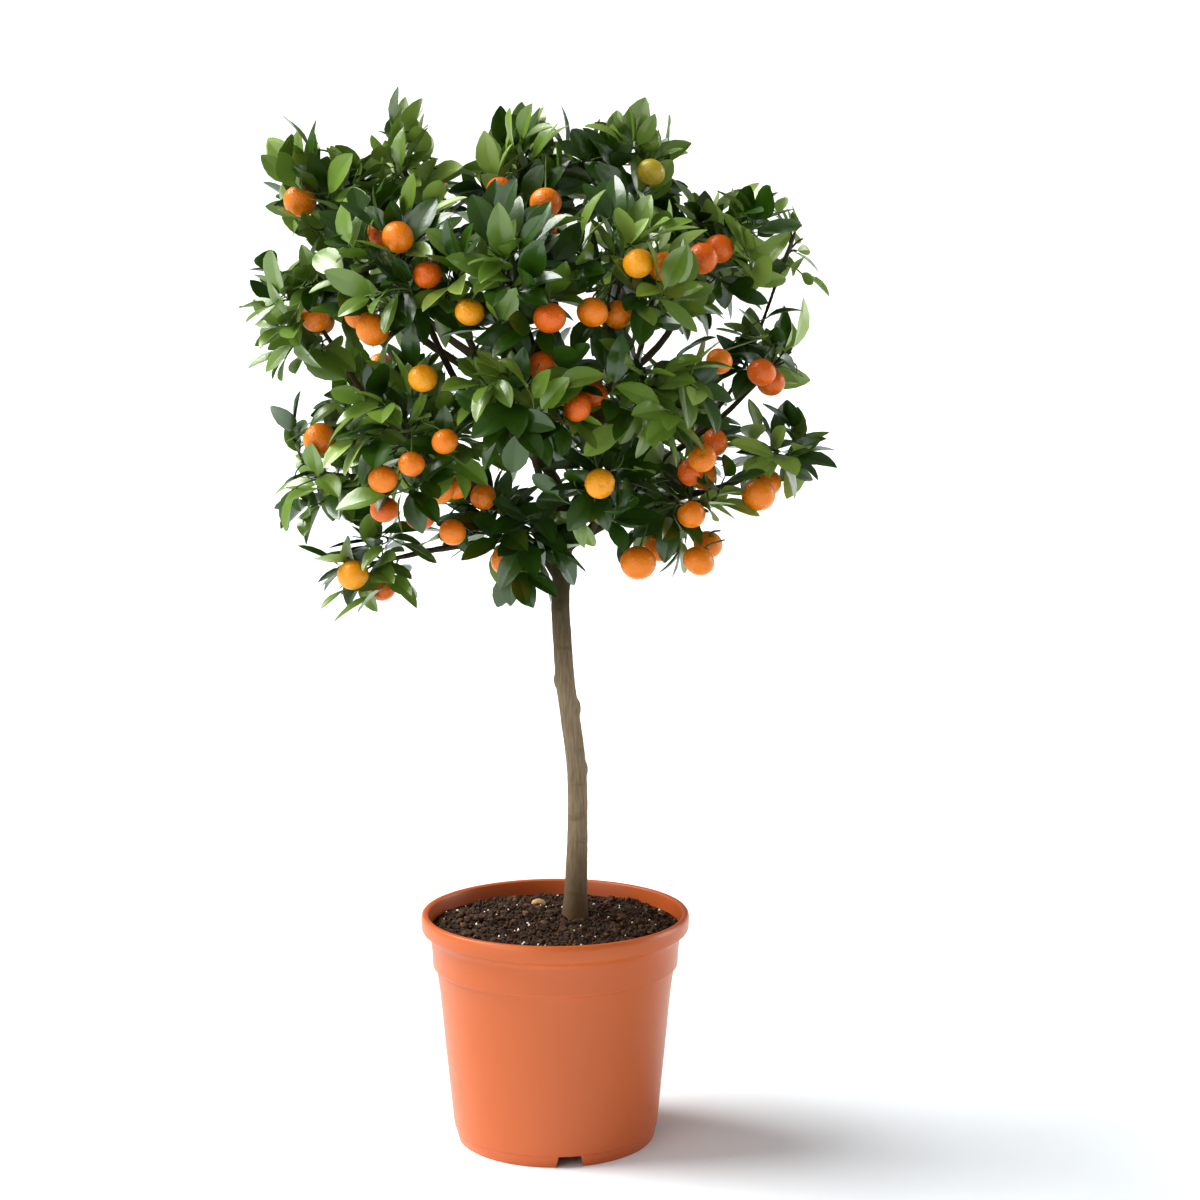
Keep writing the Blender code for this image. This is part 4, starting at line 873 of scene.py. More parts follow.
@dataclass(frozen=True)
class CrownSizes:
    """Sizes of twigs, leaves and fruit at life size, in metres and shares."""

    stem_radius: float = 2.0 * MM
    stem_tip_radius: float = 1.5 * MM
    shoot_root_radius: float = 1.25 * MM
    shoot_end_radius: float = 0.85 * MM
    twig_root_radius: float = 0.85 * MM
    twig_end_radius: float = 0.55 * MM
    stalk_root_radius: float = 0.75 * MM
    stalk_end_radius: float = 1.0 * MM
    shoot_share: float = 0.62           # of a shoot's line that is bare wood before its leaves
    tip_spray: float = 36.0 * MM        # length of the spray of leaves that ends at a named tip
    twig_inset: float = 27.0 * MM       # how far a fine twig ends within the crown's outline
    twig_gap: float = 18.0 * MM         # a fine twig grows only as far from all others
    twig_reach: float = 62.0 * MM
    spray_reach: float = 82.0 * MM
    twig_tries: int = 300
    twig_starts: int = 6                # the nearest wood that a fine twig may start from
    twig_end_overlap: float = 6.0 * MM  # how far its end may pass into the next mass
    twig_overlap: float = 8.0 * MM      # and the rest of it
    twig_limit: float = 0.86            # how far out twigs end, as a share of the reach
    leaf_limit: float = 1.36            # how far out leaves go, in the same way
    tip_leaves: float = 44.0 * MM       # leaves may go as far from a named tip
    tip_share: float = 0.6              # of that, from a leaf's own tip
    leaf_length: tuple = (29.0 * MM, 44.5 * MM)
    leaf_width: tuple = (0.42, 0.54)    # share of its length
    leaf_thickness: float = 0.45 * MM
    leaf_spacing: float = 6.5 * MM
    wall_overlap: float = 20.0 * MM     # how far a leaf may pass into the next mass
    fruit_in_view: float = 0.38         # share of a fruit's radius that leaves stay out of
    fringe: float = 0.95                # beyond this share of the reach, leaf tips keep apart
    fringe_gap: float = 16.0 * MM


@dataclass(frozen=True)
class LeafHabit:
    """How leaves stand on their twigs, and where each tone grows. Angles are in degrees."""

    # The tones' placement paints light: sprays at the sunlit top draw more fresh and mid tones,
    # sprays in the shaded middle mostly deep ones.
    sunlit_from: float = 0.775          # height in metres above which the crown is sunlit
    sunlit_fresh: float = 0.22          # share of sprays there that are fresh besides
    shaded_within: float = 0.11         # distance in metres from the middle axis
    mid_limits: tuple = (0.84, 0.35, 0.56)  # sunlit, shaded, other: draws above are deep
    places: int = 12                    # leaves on one twig, at most
    starts: tuple = (1.0 * MM, 4.0 * MM, 8.5 * MM)  # from its end to the first leaves
    bare_share: float = 0.1             # of a twig, from its root
    leans: tuple = (16.0, 36.0, 46.0, 54.0)  # between twig and leaf, from its end backwards
    lean_spread: tuple = (-12.0, 14.0)
    level_height: float = 0.62          # leaves rise above this height and sink below it
    rise_above: tuple = (0.22, 3.2)     # at that height, and more for each metre over it
    rise_below: tuple = (-0.9, 1.8)     # at the floor, and more for each metre over it
    facing: tuple = (0.75, 0.4, 0.35, 0.25)  # up, out of the mass, off the axis, along the twig
    facing_spread: float = 0.32
    shapes: tuple = ((0.12, 0.38), (0.02, 0.28), (-0.42, 0.42), (-0.06, 0.06))
    outward: float = 0.36               # how far a leaf's way leans out of its mass
    attempts: int = 9
    attempt_turn: float = 0.7           # in radians
    shrink: float = 0.96                # where a leaf of its length finds no room


SIZES = CrownSizes()
HABIT = LeafHabit()


# ---------------------------------------------------------------- lines

def smooth_line(knots: Sequence[Vector], steps: int) -> list[Vector]:
    """Lay a smooth line through the knots.

    Args:
        knots: the places it passes.
        steps: the straight lengths between two of them.

    Returns:
        The points of the line.
    """
    line = [knots[0].copy()]
    last = len(knots) - 1
    for i in range(last):
        before = knots[max(i - 1, 0)]
        start = knots[i]
        end = knots[i + 1]
        after = knots[min(i + 2, last)]
        for step in range(1, steps + 1):
            t = step / steps
            line.append(0.5 * (2.0 * start + (end - before) * t
                               + (2.0 * before - 5.0 * start + 4.0 * end - after) * t ** 2
                               + (3.0 * start - before - 3.0 * end + after) * t ** 3))
    return line


def length_of(line: Sequence[Vector]) -> float:
    """The length of a line."""
    return sum((b - a).length for a, b in zip(line, line[1:]))


def point_along(line: Sequence[Vector], share: float) -> Vector:
    """The point at a share of a line's length.

    Args:
        line: the line.
        share: from 0 at its start to 1 at its end.

    Returns:
        the point.
    """
    left = share * length_of(line)
    for a, b in zip(line, line[1:]):
        if left <= (b - a).length:
            return a.lerp(b, left / (b - a).length)
        left -= (b - a).length
    return line[-1].copy()


def tapered(count: int, start: float, end: float) -> list[float]:
    """Radii that fall evenly from start to end."""
    return [start + (end - start) * i / (count - 1) for i in range(count)]


def bowed(start: Vector, heading: Vector, end: Vector, steps: int = 2) -> list[Vector]:
    """A line from start to end that sets out along a heading.

    Args:
        start: the first point.
        heading: its way there, of length 1.
        end: the last point.
        steps: how many parts it has.

    Returns:
        its points.
    """
    control = start + heading * (end - start).length * BOW
    return [start * (1 - t) ** 2 + control * 2 * t * (1 - t) + end * t ** 2
            for t in (i / steps for i in range(steps + 1))]


def in_gap(point: Vector, gaps: Iterable[tuple] = (*GAPS, *BAYS)) -> bool:
    """Whether a point would close a gap or a bay of the outline, seen from in front.

    Args:
        point: the point.
        gaps: ellipses: middle x and z, half width and half height.

    Returns:
        true in one of them.
    """
    scale = -VIEWPOINT.y / (point.y - VIEWPOINT.y)
    side = (VIEWPOINT.x + (point.x - VIEWPOINT.x) * scale) / MM
    height = (VIEWPOINT.z + (point.z - VIEWPOINT.z) * scale) / MM
    return any(((side - x) / wide) ** 2 + ((height - z) / tall) ** 2 < 1.0
               for x, z, wide, tall in gaps)


def past_edge(point: Vector) -> bool:
    """Whether a leaf may not reach a point, because it shows sky there from in front.

    Args:
        point: the point.

    Returns:
        true where sky shows.
    """
    if in_gap(point, SMALL_GAPS):
        return True
    return EDGE_TREE.ray_cast(VIEWPOINT, point - VIEWPOINT)[0] is None


def crosses(tree: BVHTree, line: Sequence[Vector]) -> bool:
    """Whether a line passes through the faces of a search tree."""
    return any(tree.ray_cast(a, (b - a).normalized(), (b - a).length)[0] is not None
               for a, b in zip(line, line[1:]))


def limb_tube(name: str, line: Sequence[Vector], radii: Sequence[float],
              resolution: int) -> bpy.types.Object:
    """A round tapering tube with closed ends, made from a bevelled curve.

    Args:
        name: the object's name.
        line: its middle line.
        radii: its radius at each point.
        resolution: the bevel's resolution.

    Returns:
        the tube.
    """
    curve = bpy.data.curves.new(name, "CURVE")
    curve.dimensions = "3D"
    curve.use_fill_caps = True
    curve.bevel_depth = 1.0
    curve.bevel_resolution = resolution
    spline = curve.splines.new("POLY")
    spline.points.add(len(line) - 1)
    for point, place, radius in zip(spline.points, line, radii):
        point.co = (*place, 1.0)
        point.radius = radius
    tube = bpy.data.objects.new(name, curve)
    bpy.context.scene.collection.objects.link(tube)
    pick(tube)
    bpy.ops.object.convert(target="MESH")
    return bpy.context.view_layer.objects.active


def limb_tree(lines: dict, radii: dict, extra: float) -> BVHTree:
    """A search tree over every limb, made wider all round.

    Args:
        lines: the limbs' lines by name.
        radii: their radii by name.
        extra: how much wider they are made.

    Returns:
        the search tree.
    """
    corners: list[Vector] = []
    faces: list[list[int]] = []
    for name, line in lines.items():
        tube = limb_tube(name, line, [radius + extra for radius in radii[name]], 1)
        first = len(corners)
        corners.extend(corner.co.copy() for corner in tube.data.vertices)
        faces.extend([first + i for i in face.vertices] for face in tube.data.polygons)
        remove_object(tube)
    return BVHTree.FromPolygons(corners, faces)


class Skeleton:
    """The trunk and boughs as lines: those of the solids, and smoother ones beside them."""

    collar: float = 1.32                # how much a bough swells where it leaves its parent
    collar_length: float = 9.0 * MM
    steps: int = 6

    def __init__(self) -> None:
        """Work every line out from its parent and its mass, as the source does."""
        trunk = [Vector(row[:3]) * MM for row in TRUNK_LINE]
        radii = [row[3] * MM for row in TRUNK_LINE]
        self.lines = {"trunk": smooth_line(trunk, 1)}
        self.radii = {"trunk": radii}
        self.fine_lines = {"trunk": smooth_line(trunk, self.steps)}
        self.fine_radii = {"trunk": [radii[i] + (radii[i + 1] - radii[i]) * k / self.steps
                                     for i in range(len(radii) - 1) for k in range(self.steps)]
                           + radii[-1:]}
        for plan in MASSES:
            self.add_bough(plan)

    def add_bough(self, plan: MassPlan) -> None:
        """Add the bough that carries one mass.

        Args:
            plan: the mass's plan.
        """
        start = point_along(self.lines[plan.parent], plan.along)
        knots = [start] + [Vector(bend) * MM for bend in plan.bends]
        if not plan.bends:
            way = plan.middle - start
            outward = Vector((way.x, way.y, 0.0))
            bend = start.lerp(plan.middle, BOUGH_BEND) + BOUGH_OUT * outward
            knots.append(bend - BOUGH_SAG * way.length * UP)
        back = knots[-1] - plan.middle
        inset = BOUGH_END * min(plan.mean_reach, back.length)
        knots.append(plan.middle + back.normalized() * inset)
        line = smooth_line(knots, BOUGH_STEPS)
        self.lines[plan.name] = line
        self.radii[plan.name] = tapered(len(line), plan.base * MM, BOUGH_TIP_RADIUS)
        parent = self.fine_lines[plan.parent]
        knots[0] = min(parent, key=lambda place: (place - start).length).copy()
        fine = smooth_line(knots, self.steps)
        radii = tapered(len(fine), plan.base * MM, BOUGH_TIP_RADIUS)
        gone = 0.0
        for i in range(len(fine)):
            if i:
                gone += (fine[i] - fine[i - 1]).length
            radii[i] *= 1.0 + (self.collar - 1.0) * math.exp(-gone / self.collar_length)
        self.fine_lines[plan.name] = fine
        self.fine_radii[plan.name] = [radius * plan.slender for radius in radii]


class Space:
    """The space of one mass: its side of a flat boundary with every other mass."""

    def __init__(self, plan: MassPlan) -> None:
        """Work out the boundaries from the centres and reaches of all the masses.

        Args:
            plan: the plan of this space's mass.
        """
        self.centre = plan.middle
        self.reach = Vector(plan.reach) * MM
        self.walls = []
        own = plan.mean_reach ** 2
        for other in MASSES:
            if other.name == plan.name:
                continue
            way = other.middle - self.centre
            edge = (way.length ** 2 + own - other.mean_reach ** 2) / (2.0 * way.length)
            self.walls.append((way / way.length, edge - SPACE_MARGIN))

    def holds(self, point: Vector, over: float = 0.0) -> bool:
        """Whether a point lies in the crown's box and in this space, or past it by no more.

        Args:
            point: the point.
            over: how far past a boundary it may lie.

        Returns:
            true where it does.
        """
        for low, value, high in zip(CROWN_LOW, point, CROWN_HIGH):
            if not low < value < high:
                return False
        way = point - self.centre
        return all(way.dot(normal) < edge + over for normal, edge in self.walls)

    def holds_line(self, line: Sequence[Vector], over: float = 0.0) -> bool:
        """Whether a line and the points halfway along it stay in this space."""
        middles = [a.lerp(b, 0.5) for a, b in zip(line, line[1:])]
        return all(self.holds(point, over) for point in (*line, *middles))


# ---------------------------------------------------------------- growth

@dataclass
class Fruit:
    """One fruit: its mass, place, radius and ripeness, and the way its stalk comes out."""

    mass: str
    centre: Vector
    radius: float
    ripeness: Ripeness
    stalk: Vector = field(default_factory=lambda: UP.copy())
    veiled: bool = False

    def shows_to(self) -> Vector:
        """The way that the fruit looks out of the crown, where leaves leave it free.

        Returns:
            the way, of length 1.
        """
        if self.centre.y < 0.0:
            return (VIEWPOINT - self.centre).normalized()
        return Vector((self.centre.x, self.centre.y, 0.0)).normalized()

    def covered_by(self, points: Sequence[Vector]) -> bool:
        """Whether one of the points lies before the fruit, seen from where it shows.

        Args:
            points: the points.

        Returns:
            true where one does.
        """
        if self.veiled:
            return False
        out = self.shows_to()
        for point in points:
            way = point - self.centre
            ahead = way.dot(out)
            if ahead > 0.0 and (way - out * ahead).length < self.radius * SIZES.fruit_in_view:
                return True
        return False


@dataclass
class Twig:
    """One twig: its line, the radii along it and the tone of the leaves it bears."""

    line: list
    radii: list
    tone: Tone = Tone.MID


@dataclass
class Leaf:
    """One leaf: where and how it grows, and how its blade is folded, bent and turned."""

    root: Vector
    way: Vector
    up: Vector
    length: float
    width: float
    tone: Tone
    fold: float
    bend: float
    twist: float
    wave: float

    def axes(self) -> tuple[Vector, Vector, Vector]:
        """Its own axes: to its right, along it and out of its upper side."""
        side = self.way.cross(self.up).normalized()
        return side, self.way, side.cross(self.way).normalized()

    def outline(self) -> list[Vector]:
        """Corners of a plain solid in its place: root, left, right, keel and tip.

        Returns:
            the five corners.
        """
        side, way, up = self.axes()
        middle = self.root + way * self.length * 0.55
        half = side * self.length * self.width / 2.0
        rise = up * self.length * 0.06
        tip = self.root + way * self.length * 0.98 - up * self.length * self.bend
        return [self.root + way * 1.5 * MM, middle - half + rise, middle + half + rise,
                middle - rise, tip]

    def marks(self) -> list[Vector]:
        """Points spread over the blade."""
        root, left, right, keel, tip = self.outline()
        return [left, right, keel, tip, root.lerp(keel, 0.5), keel.lerp(tip, 0.5)]


OUTLINE_FACES = ((0, 2, 1), (1, 2, 4), (0, 1, 3), (3, 1, 4), (0, 3, 2), (3, 4, 2))


class Obstacles:
    """What no leaf or twig may touch: the limbs, the fruit and the leaves already grown."""

    cell: float = 45.0 * MM

    def __init__(self, skeleton: Skeleton) -> None:
        """Gather the limbs and the fruit.

        Args:
            skeleton: the tree's limbs.
        """
        self.near_twigs = limb_tree(skeleton.lines, skeleton.radii,
                                    CLEAR_OF_LIMBS + SHOOT_RADIUS)
        self.near_leaves = limb_tree(skeleton.fine_lines, skeleton.fine_radii, CLEAR_OF_LIMBS)
        self.fruit = [Fruit(plan.name, plan.middle + Vector(offset) * MM, radius * MM,
                            self.ripeness_of(plan, i), veiled=i in plan.veiled)
                      for plan in MASSES for i, (*offset, radius) in enumerate(plan.fruit)]
        self.leaves: dict[tuple, list] = {}
        self.tips: dict[tuple, list] = {}
        self.twigs: list[Vector] = []

    def ripeness_of(self, plan: MassPlan, number: int) -> Ripeness:
        """The ripeness of one fruit: a named one, or mostly orange by a seeded rule.

        Args:
            plan: the plan of the fruit's mass.
            number: its place in that plan.

        Returns:
            its ripeness.
        """
        if (plan.name, number) in RIPENESS:
            return RIPENESS[plan.name, number]
        return random.Random(f"{plan.name} fruit {number}").choice(
            (Ripeness.ORANGE, Ripeness.ORANGE, Ripeness.DEEP))

    def block(self, line: Sequence[Vector], clear: float) -> bool:
        """Whether a line meets a limb or comes close to a fruit.

        Args:
            line: the line.
            clear: the room it needs beside a fruit.

        Returns:
            true where it does.
        """
        for a, b in zip(line, line[1:]):
            way = b - a
            if self.near_twigs.ray_cast(a, way.normalized(), way.length)[0] is not None:
                return True
            for fruit in self.fruit:
                share = min(max((fruit.centre - a).dot(way) / way.length_squared, 0.0), 1.0)
                if (a + way * share - fruit.centre).length < fruit.radius + clear:
                    return True
        return False

    def twig_near(self, place: Vector, distance: float) -> bool:
        """Whether a twig of any mass passes within a distance of a place.

        Args:
            place: the place.
            distance: the distance.

        Returns:
            true where one does.
        """
        if not self.twigs:
            return False
        ways = np.array(self.twigs) - np.array(place)
        return bool((ways ** 2).sum(axis=1).min() < distance ** 2)

    def block_leaf(self, leaf: Leaf, tree: BVHTree) -> bool:
        """Whether a leaf meets a limb, a fruit or another leaf, or hides a fruit.

        Args:
            leaf: the leaf.
            tree: its search tree.

        Returns:
            true where it does.
        """
        if tree.overlap(self.near_leaves):
            return True
        marks = leaf.marks()
        for fruit in self.fruit:
            if (fruit.centre - leaf.root).length < leaf.length + fruit.radius:
                clear = fruit.radius + CLEAR_OF_LIMBS
                if any((mark - fruit.centre).length < clear for mark in marks):
                    return True
            if fruit.covered_by(marks):
                return True
        return any(tree.overlap(other) for other in self.neighbours(self.leaves, marks[2]))

    def cell_of(self, place: Vector) -> tuple[int, ...]:
        """The cell of the grid that a place is in."""
        return tuple(math.floor(value / self.cell) for value in place)

    def neighbours(self, kept: dict[tuple, list], place: Vector) -> Iterator:
        """What is kept in the cells around a place.

        Args:
            kept: what is kept, by cell.
            place: the place.

        Returns:
            each thing in turn.
        """
        x, y, z = self.cell_of(place)
        for dx in (-1, 0, 1):
            for dy in (-1, 0, 1):
                for dz in (-1, 0, 1):
                    yield from kept.get((x + dx, y + dy, z + dz), ())

    def tip_near(self, tip: Vector, distance: float) -> bool:
        """Whether another leaf's tip lies within a distance."""
        return any((tip - other).length < distance for other in self.neighbours(self.tips, tip))

    def remember(self, leaf: Leaf, tree: BVHTree) -> None:
        """Keep a leaf that has grown.

        Args:
            leaf: the leaf.
            tree: its search tree.
        """
        marks = leaf.marks()
        self.leaves.setdefault(self.cell_of(marks[2]), []).append(tree)
        self.tips.setdefault(self.cell_of(marks[3]), []).append(marks[3])


class MassGrowth:
    """What grows in one mass: a stem, its shoots, the fruit stalks, fine twigs and leaves."""

    def __init__(self, plan: MassPlan, line: Sequence[Vector], obstacles: Obstacles) -> None:
        """Grow the parts of the solid again, and then the finer ones.

        Args:
            plan: the mass's plan.
            line: the bough's line.
            obstacles: what is in the way.
        """
        self.plan = plan
        self.space = Space(plan)
        self.obstacles = obstacles
        self.rng = random.Random(f"{plan.name} {plan.seed}")
        self.fine = random.Random(f"fine {plan.name} {plan.seed}")
        self.shoots: list[Twig] = []
        self.stalks: list[Twig] = []
        self.twigs: list[Twig] = []
        self.leaves: list[Leaf] = []
        heading = (line[-1] - line[-2]).normalized()
        self.stem = self.free_stem(line[-1] + heading * GAP, heading)
        self.grow_shoots()
        self.grow_stalks()
        self.smooth_out(line[-1] - heading * 3.0 * MM)
        self.grow_twigs()
        self.grow_leaves()

    def aside(self, reach: float) -> Vector:
        """A random shift, at most the given reach along each axis."""
        return Vector(self.rng.uniform(-reach, reach) for _ in range(3))

    def free_stem(self, root: Vector, heading: Vector) -> list[Vector]:
        """The stem: on from the bough's tip to the middle, clear of every other limb.

        Args:
            root: the bough's tip.
            heading: the bough's way there.

        Returns:
            the stem's points.
        """
        end = self.space.centre + heading * 6.0 * MM
        stem = bowed(root, heading, end)
        for _ in range(STEM_TRIES):
            if not self.obstacles.block([point_along(stem, SHOOT_ROOTS[0]), *stem[1:]],
                                        STEM_CLEAR):
                return stem
            stem = bowed(root, heading, self.space.centre + self.aside(STEM_SHIFT))
        return stem

    def shoot_ends(self) -> list[Vector]:
        """Ends for the shoots: first the named tips, then points spread over the mass.

        Returns:
            the ends.
        """
        named = [self.space.centre + Vector(tip) * MM for tip in self.plan.tips]
        back = (self.stem[0] - self.space.centre).normalized()
        spin = self.rng.uniform(0.0, math.tau)
        count = 3 * self.plan.shoots
        spread = []
        for i in range(count):
            height = 1.0 - 2.0 * (i + 0.5) / count
            turn = spin + GOLDEN_ANGLE * i
            flat = math.sqrt(1.0 - height ** 2)
            way = Vector((flat * math.cos(turn), flat * math.sin(turn), height))
            if way.dot(back) > BEHIND:
                continue
            reach = Vector(a * b for a, b in zip(way, self.space.reach))
            end = self.space.centre + reach * self.rng.uniform(*SHOOT_REACH)
            if not in_gap(end):
                spread.append(end)
        self.rng.shuffle(spread)
        return named + spread

    def grow_shoots(self) -> None:
        """Shoots from the stem to their ends, the rearmost end from nearest the root."""
        heading = (self.stem[-1] - self.stem[0]).normalized()
        ends: list[Vector] = []
        for end in self.shoot_ends():
            if len(ends) >= self.plan.shoots:
                break
            if any((end - other).length < SHOOT_SPREAD for other in ends):
                continue
            line = bowed(point_along(self.stem, sum(SHOOT_ROOTS) / 2.0), heading, end)
            if self.space.holds_line(line) and not self.obstacles.block(line, SHOOT_CLEAR):
                ends.append(end)
        ends.sort(key=lambda end: (end - self.stem[0]).dot(heading))
        low, high = SHOOT_ROOTS
        for i, end in enumerate(ends):
            line = bowed(point_along(self.stem, low + (high - low) * (i + 0.5) / len(ends)),
                         heading, end)
            if self.space.holds_line(line) and not self.obstacles.block(line, SHOOT_CLEAR):
                self.shoots.append(Twig(line, []))

    def grow_stalks(self) -> None:
        """A stalk to each fruit, from the nearest twig that it can reach freely."""
        bearers = [self.stem] + [shoot.line for shoot in self.shoots]
        starts = [point_along(line, share) for line in bearers for share in STALK_ROOTS]
        for fruit in self.obstacles.fruit:
            if fruit.mass != self.plan.name:
                continue
            starts.sort(key=lambda place: (place - fruit.centre).length)
            line = self.stalk_line(fruit, starts)
            if line:
                fruit.stalk = (line[-1] - fruit.centre).normalized()
                door = fruit.centre + fruit.stalk * (fruit.radius + STALK_DOOR)
                bent = smooth_line([*line[:-1], door, line[-1]], 4)
                self.stalks.append(Twig(bent, tapered(len(bent), SIZES.stalk_root_radius,
                                                      SIZES.stalk_end_radius)))

    def stalk_line(self, fruit: Fruit, starts: Sequence[Vector]) -> list[Vector] | None:
        """The line of one stalk: straight where that is free, and otherwise bent.

        Args:
            fruit: the fruit.
            starts: where a stalk may leave a shoot.

        Returns:
            its points, or None where no way is free.
        """
        for knees in range(STALK_KNEES):
            for start in starts:
                for lift in STALK_LIFTS:
                    out = ((start - fruit.centre).normalized() + UP * lift).normalized()
                    door = fruit.centre + out * (fruit.radius + STALK_DOOR)
                    route = [start, door]
                    if knees:
                        route.insert(1, start.lerp(door, 0.5) + self.aside(STALK_BEND))
                    if self.space.holds_line(route) and not self.obstacles.block(
                            route, STALK_CLEAR):
                        return [*route[:-1], fruit.centre + out * fruit.radius * STALK_DEPTH]
        return None

    def smooth_out(self, root: Vector) -> None:
        """Give the stem and shoots more points between the same ends, and life-size radii.

        Args:
            root: the stem's first point.
        """
        self.stem = [root, *smooth_line(self.stem, 4)]
        self.twigs.append(Twig(self.stem, tapered(len(self.stem), SIZES.stem_radius,
                                                  SIZES.stem_tip_radius)))
        tips = [self.space.centre + Vector(tip) * MM for tip in self.plan.tips]
        for shoot in self.shoots:
            line = smooth_line(shoot.line, 10)
            share = SIZES.shoot_share
            if any((line[-1] - tip).length < MM for tip in tips):
                share = max(0.2, 1.0 - SIZES.tip_spray / length_of(line))
            shoot.line = line[:max(4, round(len(line) * share))]
            shoot.radii = tapered(len(shoot.line), SIZES.shoot_root_radius,
                                  SIZES.shoot_end_radius)
            shoot.tone = self.tone_of(line[-1])
        for twig in (*self.twigs, *self.shoots, *self.stalks):
            self.obstacles.twigs.extend(twig.line)

    def tone_of(self, end: Vector) -> Tone:
        """The tone of one spray, partly painted light: fresher at the sunlit top and deeper in the
        shaded middle of the crown, besides each mass's own share of fresh growth.

        Args:
            end: the spray's end.

        Returns:
            its tone.
        """
        top = end.z > HABIT.sunlit_from
        fresh = self.plan.fresh + (HABIT.sunlit_fresh if top else 0.0)
        inner = Vector((end.x, end.y)).length < HABIT.shaded_within
        chance = self.fine.random()
        if chance < fresh and (top or not inner):
            return Tone.FRESH
        limit = HABIT.mid_limits[0 if top else 1 if inner else 2]
        return Tone.DEEP if chance > limit else Tone.MID

    def share_out(self, point: Vector) -> float:
        """How far out a point lies, as a share of the mass's reach in that direction."""
        way = point - self.space.centre
        return Vector(a / b for a, b in zip(way, self.space.reach)).length / self.plan.spread

    def grow_twigs(self) -> None:
        """Fine twigs into every part of the mass that is still empty, the innermost first."""
        places = []
        while len(places) < SIZES.twig_tries:
            way = Vector(self.fine.uniform(-1.0, 1.0) for _ in range(3))
            if way.length < 1.0:
                way *= SIZES.twig_limit * self.plan.spread
                places.append(self.space.centre
                              + Vector(a * b for a, b in zip(way, self.space.reach)))
        middle = self.space.centre.lerp(self.stem[0], 0.5)
        places.sort(key=lambda place: (place - middle).length)
        for spray in self.plan.sprays:
            self.grow_twig(self.space.centre + Vector(spray) * MM, SIZES.spray_reach)
        for place in places:
            beyond = place + (place - CROWN_MIDDLE).normalized() * SIZES.twig_inset
            if (not past_edge(beyond) and self.space.holds(place, SIZES.twig_end_overlap)
                    and not self.obstacles.twig_near(place, SIZES.twig_gap)):
                self.grow_twig(place, SIZES.twig_reach)

    def grow_twig(self, end: Vector, reach: float) -> None:
        """A fine twig to a place from the nearest wood of this mass, where the way is free.

        Args:
            end: where it ends.
            reach: its greatest length.
        """
        starts = [(a, b) for twig in (*self.shoots, *self.twigs)
                  for a, b in zip(twig.line[1:], twig.line[2:])]
        starts.sort(key=lambda pair: (pair[0] - end).length)
        for start, after in starts[:SIZES.twig_starts]:
            way = end - start
            if way.length > reach:
                return
            heading = ((after - start).normalized() + way.normalized()).normalized()
            line = bowed(start, heading, end, 4)
            if self.space.holds_line(line, SIZES.twig_overlap) and not self.obstacles.block(
                    line, SHOOT_CLEAR) and not any(past_edge(point) for point in line):
                radii = tapered(len(line), SIZES.twig_root_radius, SIZES.twig_end_radius)
                self.twigs.append(Twig(line, radii, self.tone_of(end)))
                self.obstacles.twigs.extend(line[1:])
                return

    def grow_leaves(self) -> None:
        """Leaves at the ends of the shoots and twigs first, and then back along them."""
        bearers = [*self.shoots, *self.twigs[1:]]
        turns = [self.fine.uniform(0.0, math.tau) for _ in bearers]
        nearest = len(HABIT.starts) - 1
        for place in range(HABIT.places):
            for i, bearer in enumerate(bearers):
                if len(self.leaves) >= self.plan.leaves:
                    return
                further = max(0, place - nearest) * SIZES.leaf_spacing
                behind = HABIT.starts[min(place, nearest)] + further
                share = 1.0 - behind / length_of(bearer.line)
                turns[i] += GOLDEN_ANGLE
                if share > HABIT.bare_share:
                    self.set_leaf(bearer, share, turns[i], place)

    def leaf_stays_in(self, marks: Sequence[Vector]) -> bool:
        """Whether a leaf keeps within the mass, or close to one of its named tips.

        Args:
            marks: points over the leaf.

        Returns:
            true where it does.
        """
        if all(self.share_out(mark) < SIZES.leaf_limit for mark in marks):
            return True
        tips = [self.space.centre + Vector(tip) * MM for tip in self.plan.tips]
        near = SIZES.tip_leaves * SIZES.tip_share
        return any((marks[3] - tip).length < near for tip in tips) or any(
            all((mark - tip).length < SIZES.tip_leaves for mark in marks) for tip in tips)

    def set_leaf(self, bearer: Twig, share: float, turn: float, place: int) -> None:
        """Grow one leaf at a place on a twig, turned until it is clear of everything.

        Args:
            bearer: the twig.
            share: the leaf's place along it, from 0 to 1.
            turn: its turn round the twig.
            place: its number from the twig's end.
        """
        root = point_along(bearer.line, share)
        axis = (bearer.line[-1] - bearer.line[-2]).normalized()
        across = axis.orthogonal().normalized()
        outward = (root - self.space.centre).normalized()
        crown = Vector((root.x, root.y, 0.0)).normalized()
        rng = self.fine
        lean = HABIT.leans[min(place, len(HABIT.leans) - 1)]
        lean = math.radians(lean + rng.uniform(*HABIT.lean_spread))
        if root.z > HABIT.level_height:
            start, slope = HABIT.rise_above
            rise = start + slope * (root.z - HABIT.level_height)
        else:
            start, slope = HABIT.rise_below
            rise = slope * root.z + start
        length = rng.uniform(*SIZES.leaf_length) * self.plan.leaf_size
        width = rng.uniform(*SIZES.leaf_width)
        upwards, outwards, sideways, along = HABIT.facing
        face = UP * upwards + outward * outwards + crown * sideways + axis * along
        stray = HABIT.facing_spread
        face += Vector(rng.uniform(-stray, stray) for _ in range(3))
        shape = [rng.uniform(*limits) for limits in HABIT.shapes]
        for attempt in range(HABIT.attempts):
            around = Matrix.Rotation(turn + attempt * HABIT.attempt_turn, 3, axis) @ across
            way = axis * math.cos(lean) + around * math.sin(lean)
            way = (way + HABIT.outward * outward + rise * UP).normalized()
            up = (face - way * face.dot(way)).normalized()
            leaf = Leaf(root, way, up, length, width, bearer.tone, *shape)
            corners = leaf.outline()
            if not all(self.space.holds(corner, SIZES.wall_overlap) for corner in corners):
                length *= HABIT.shrink
                continue
            marks = leaf.marks()
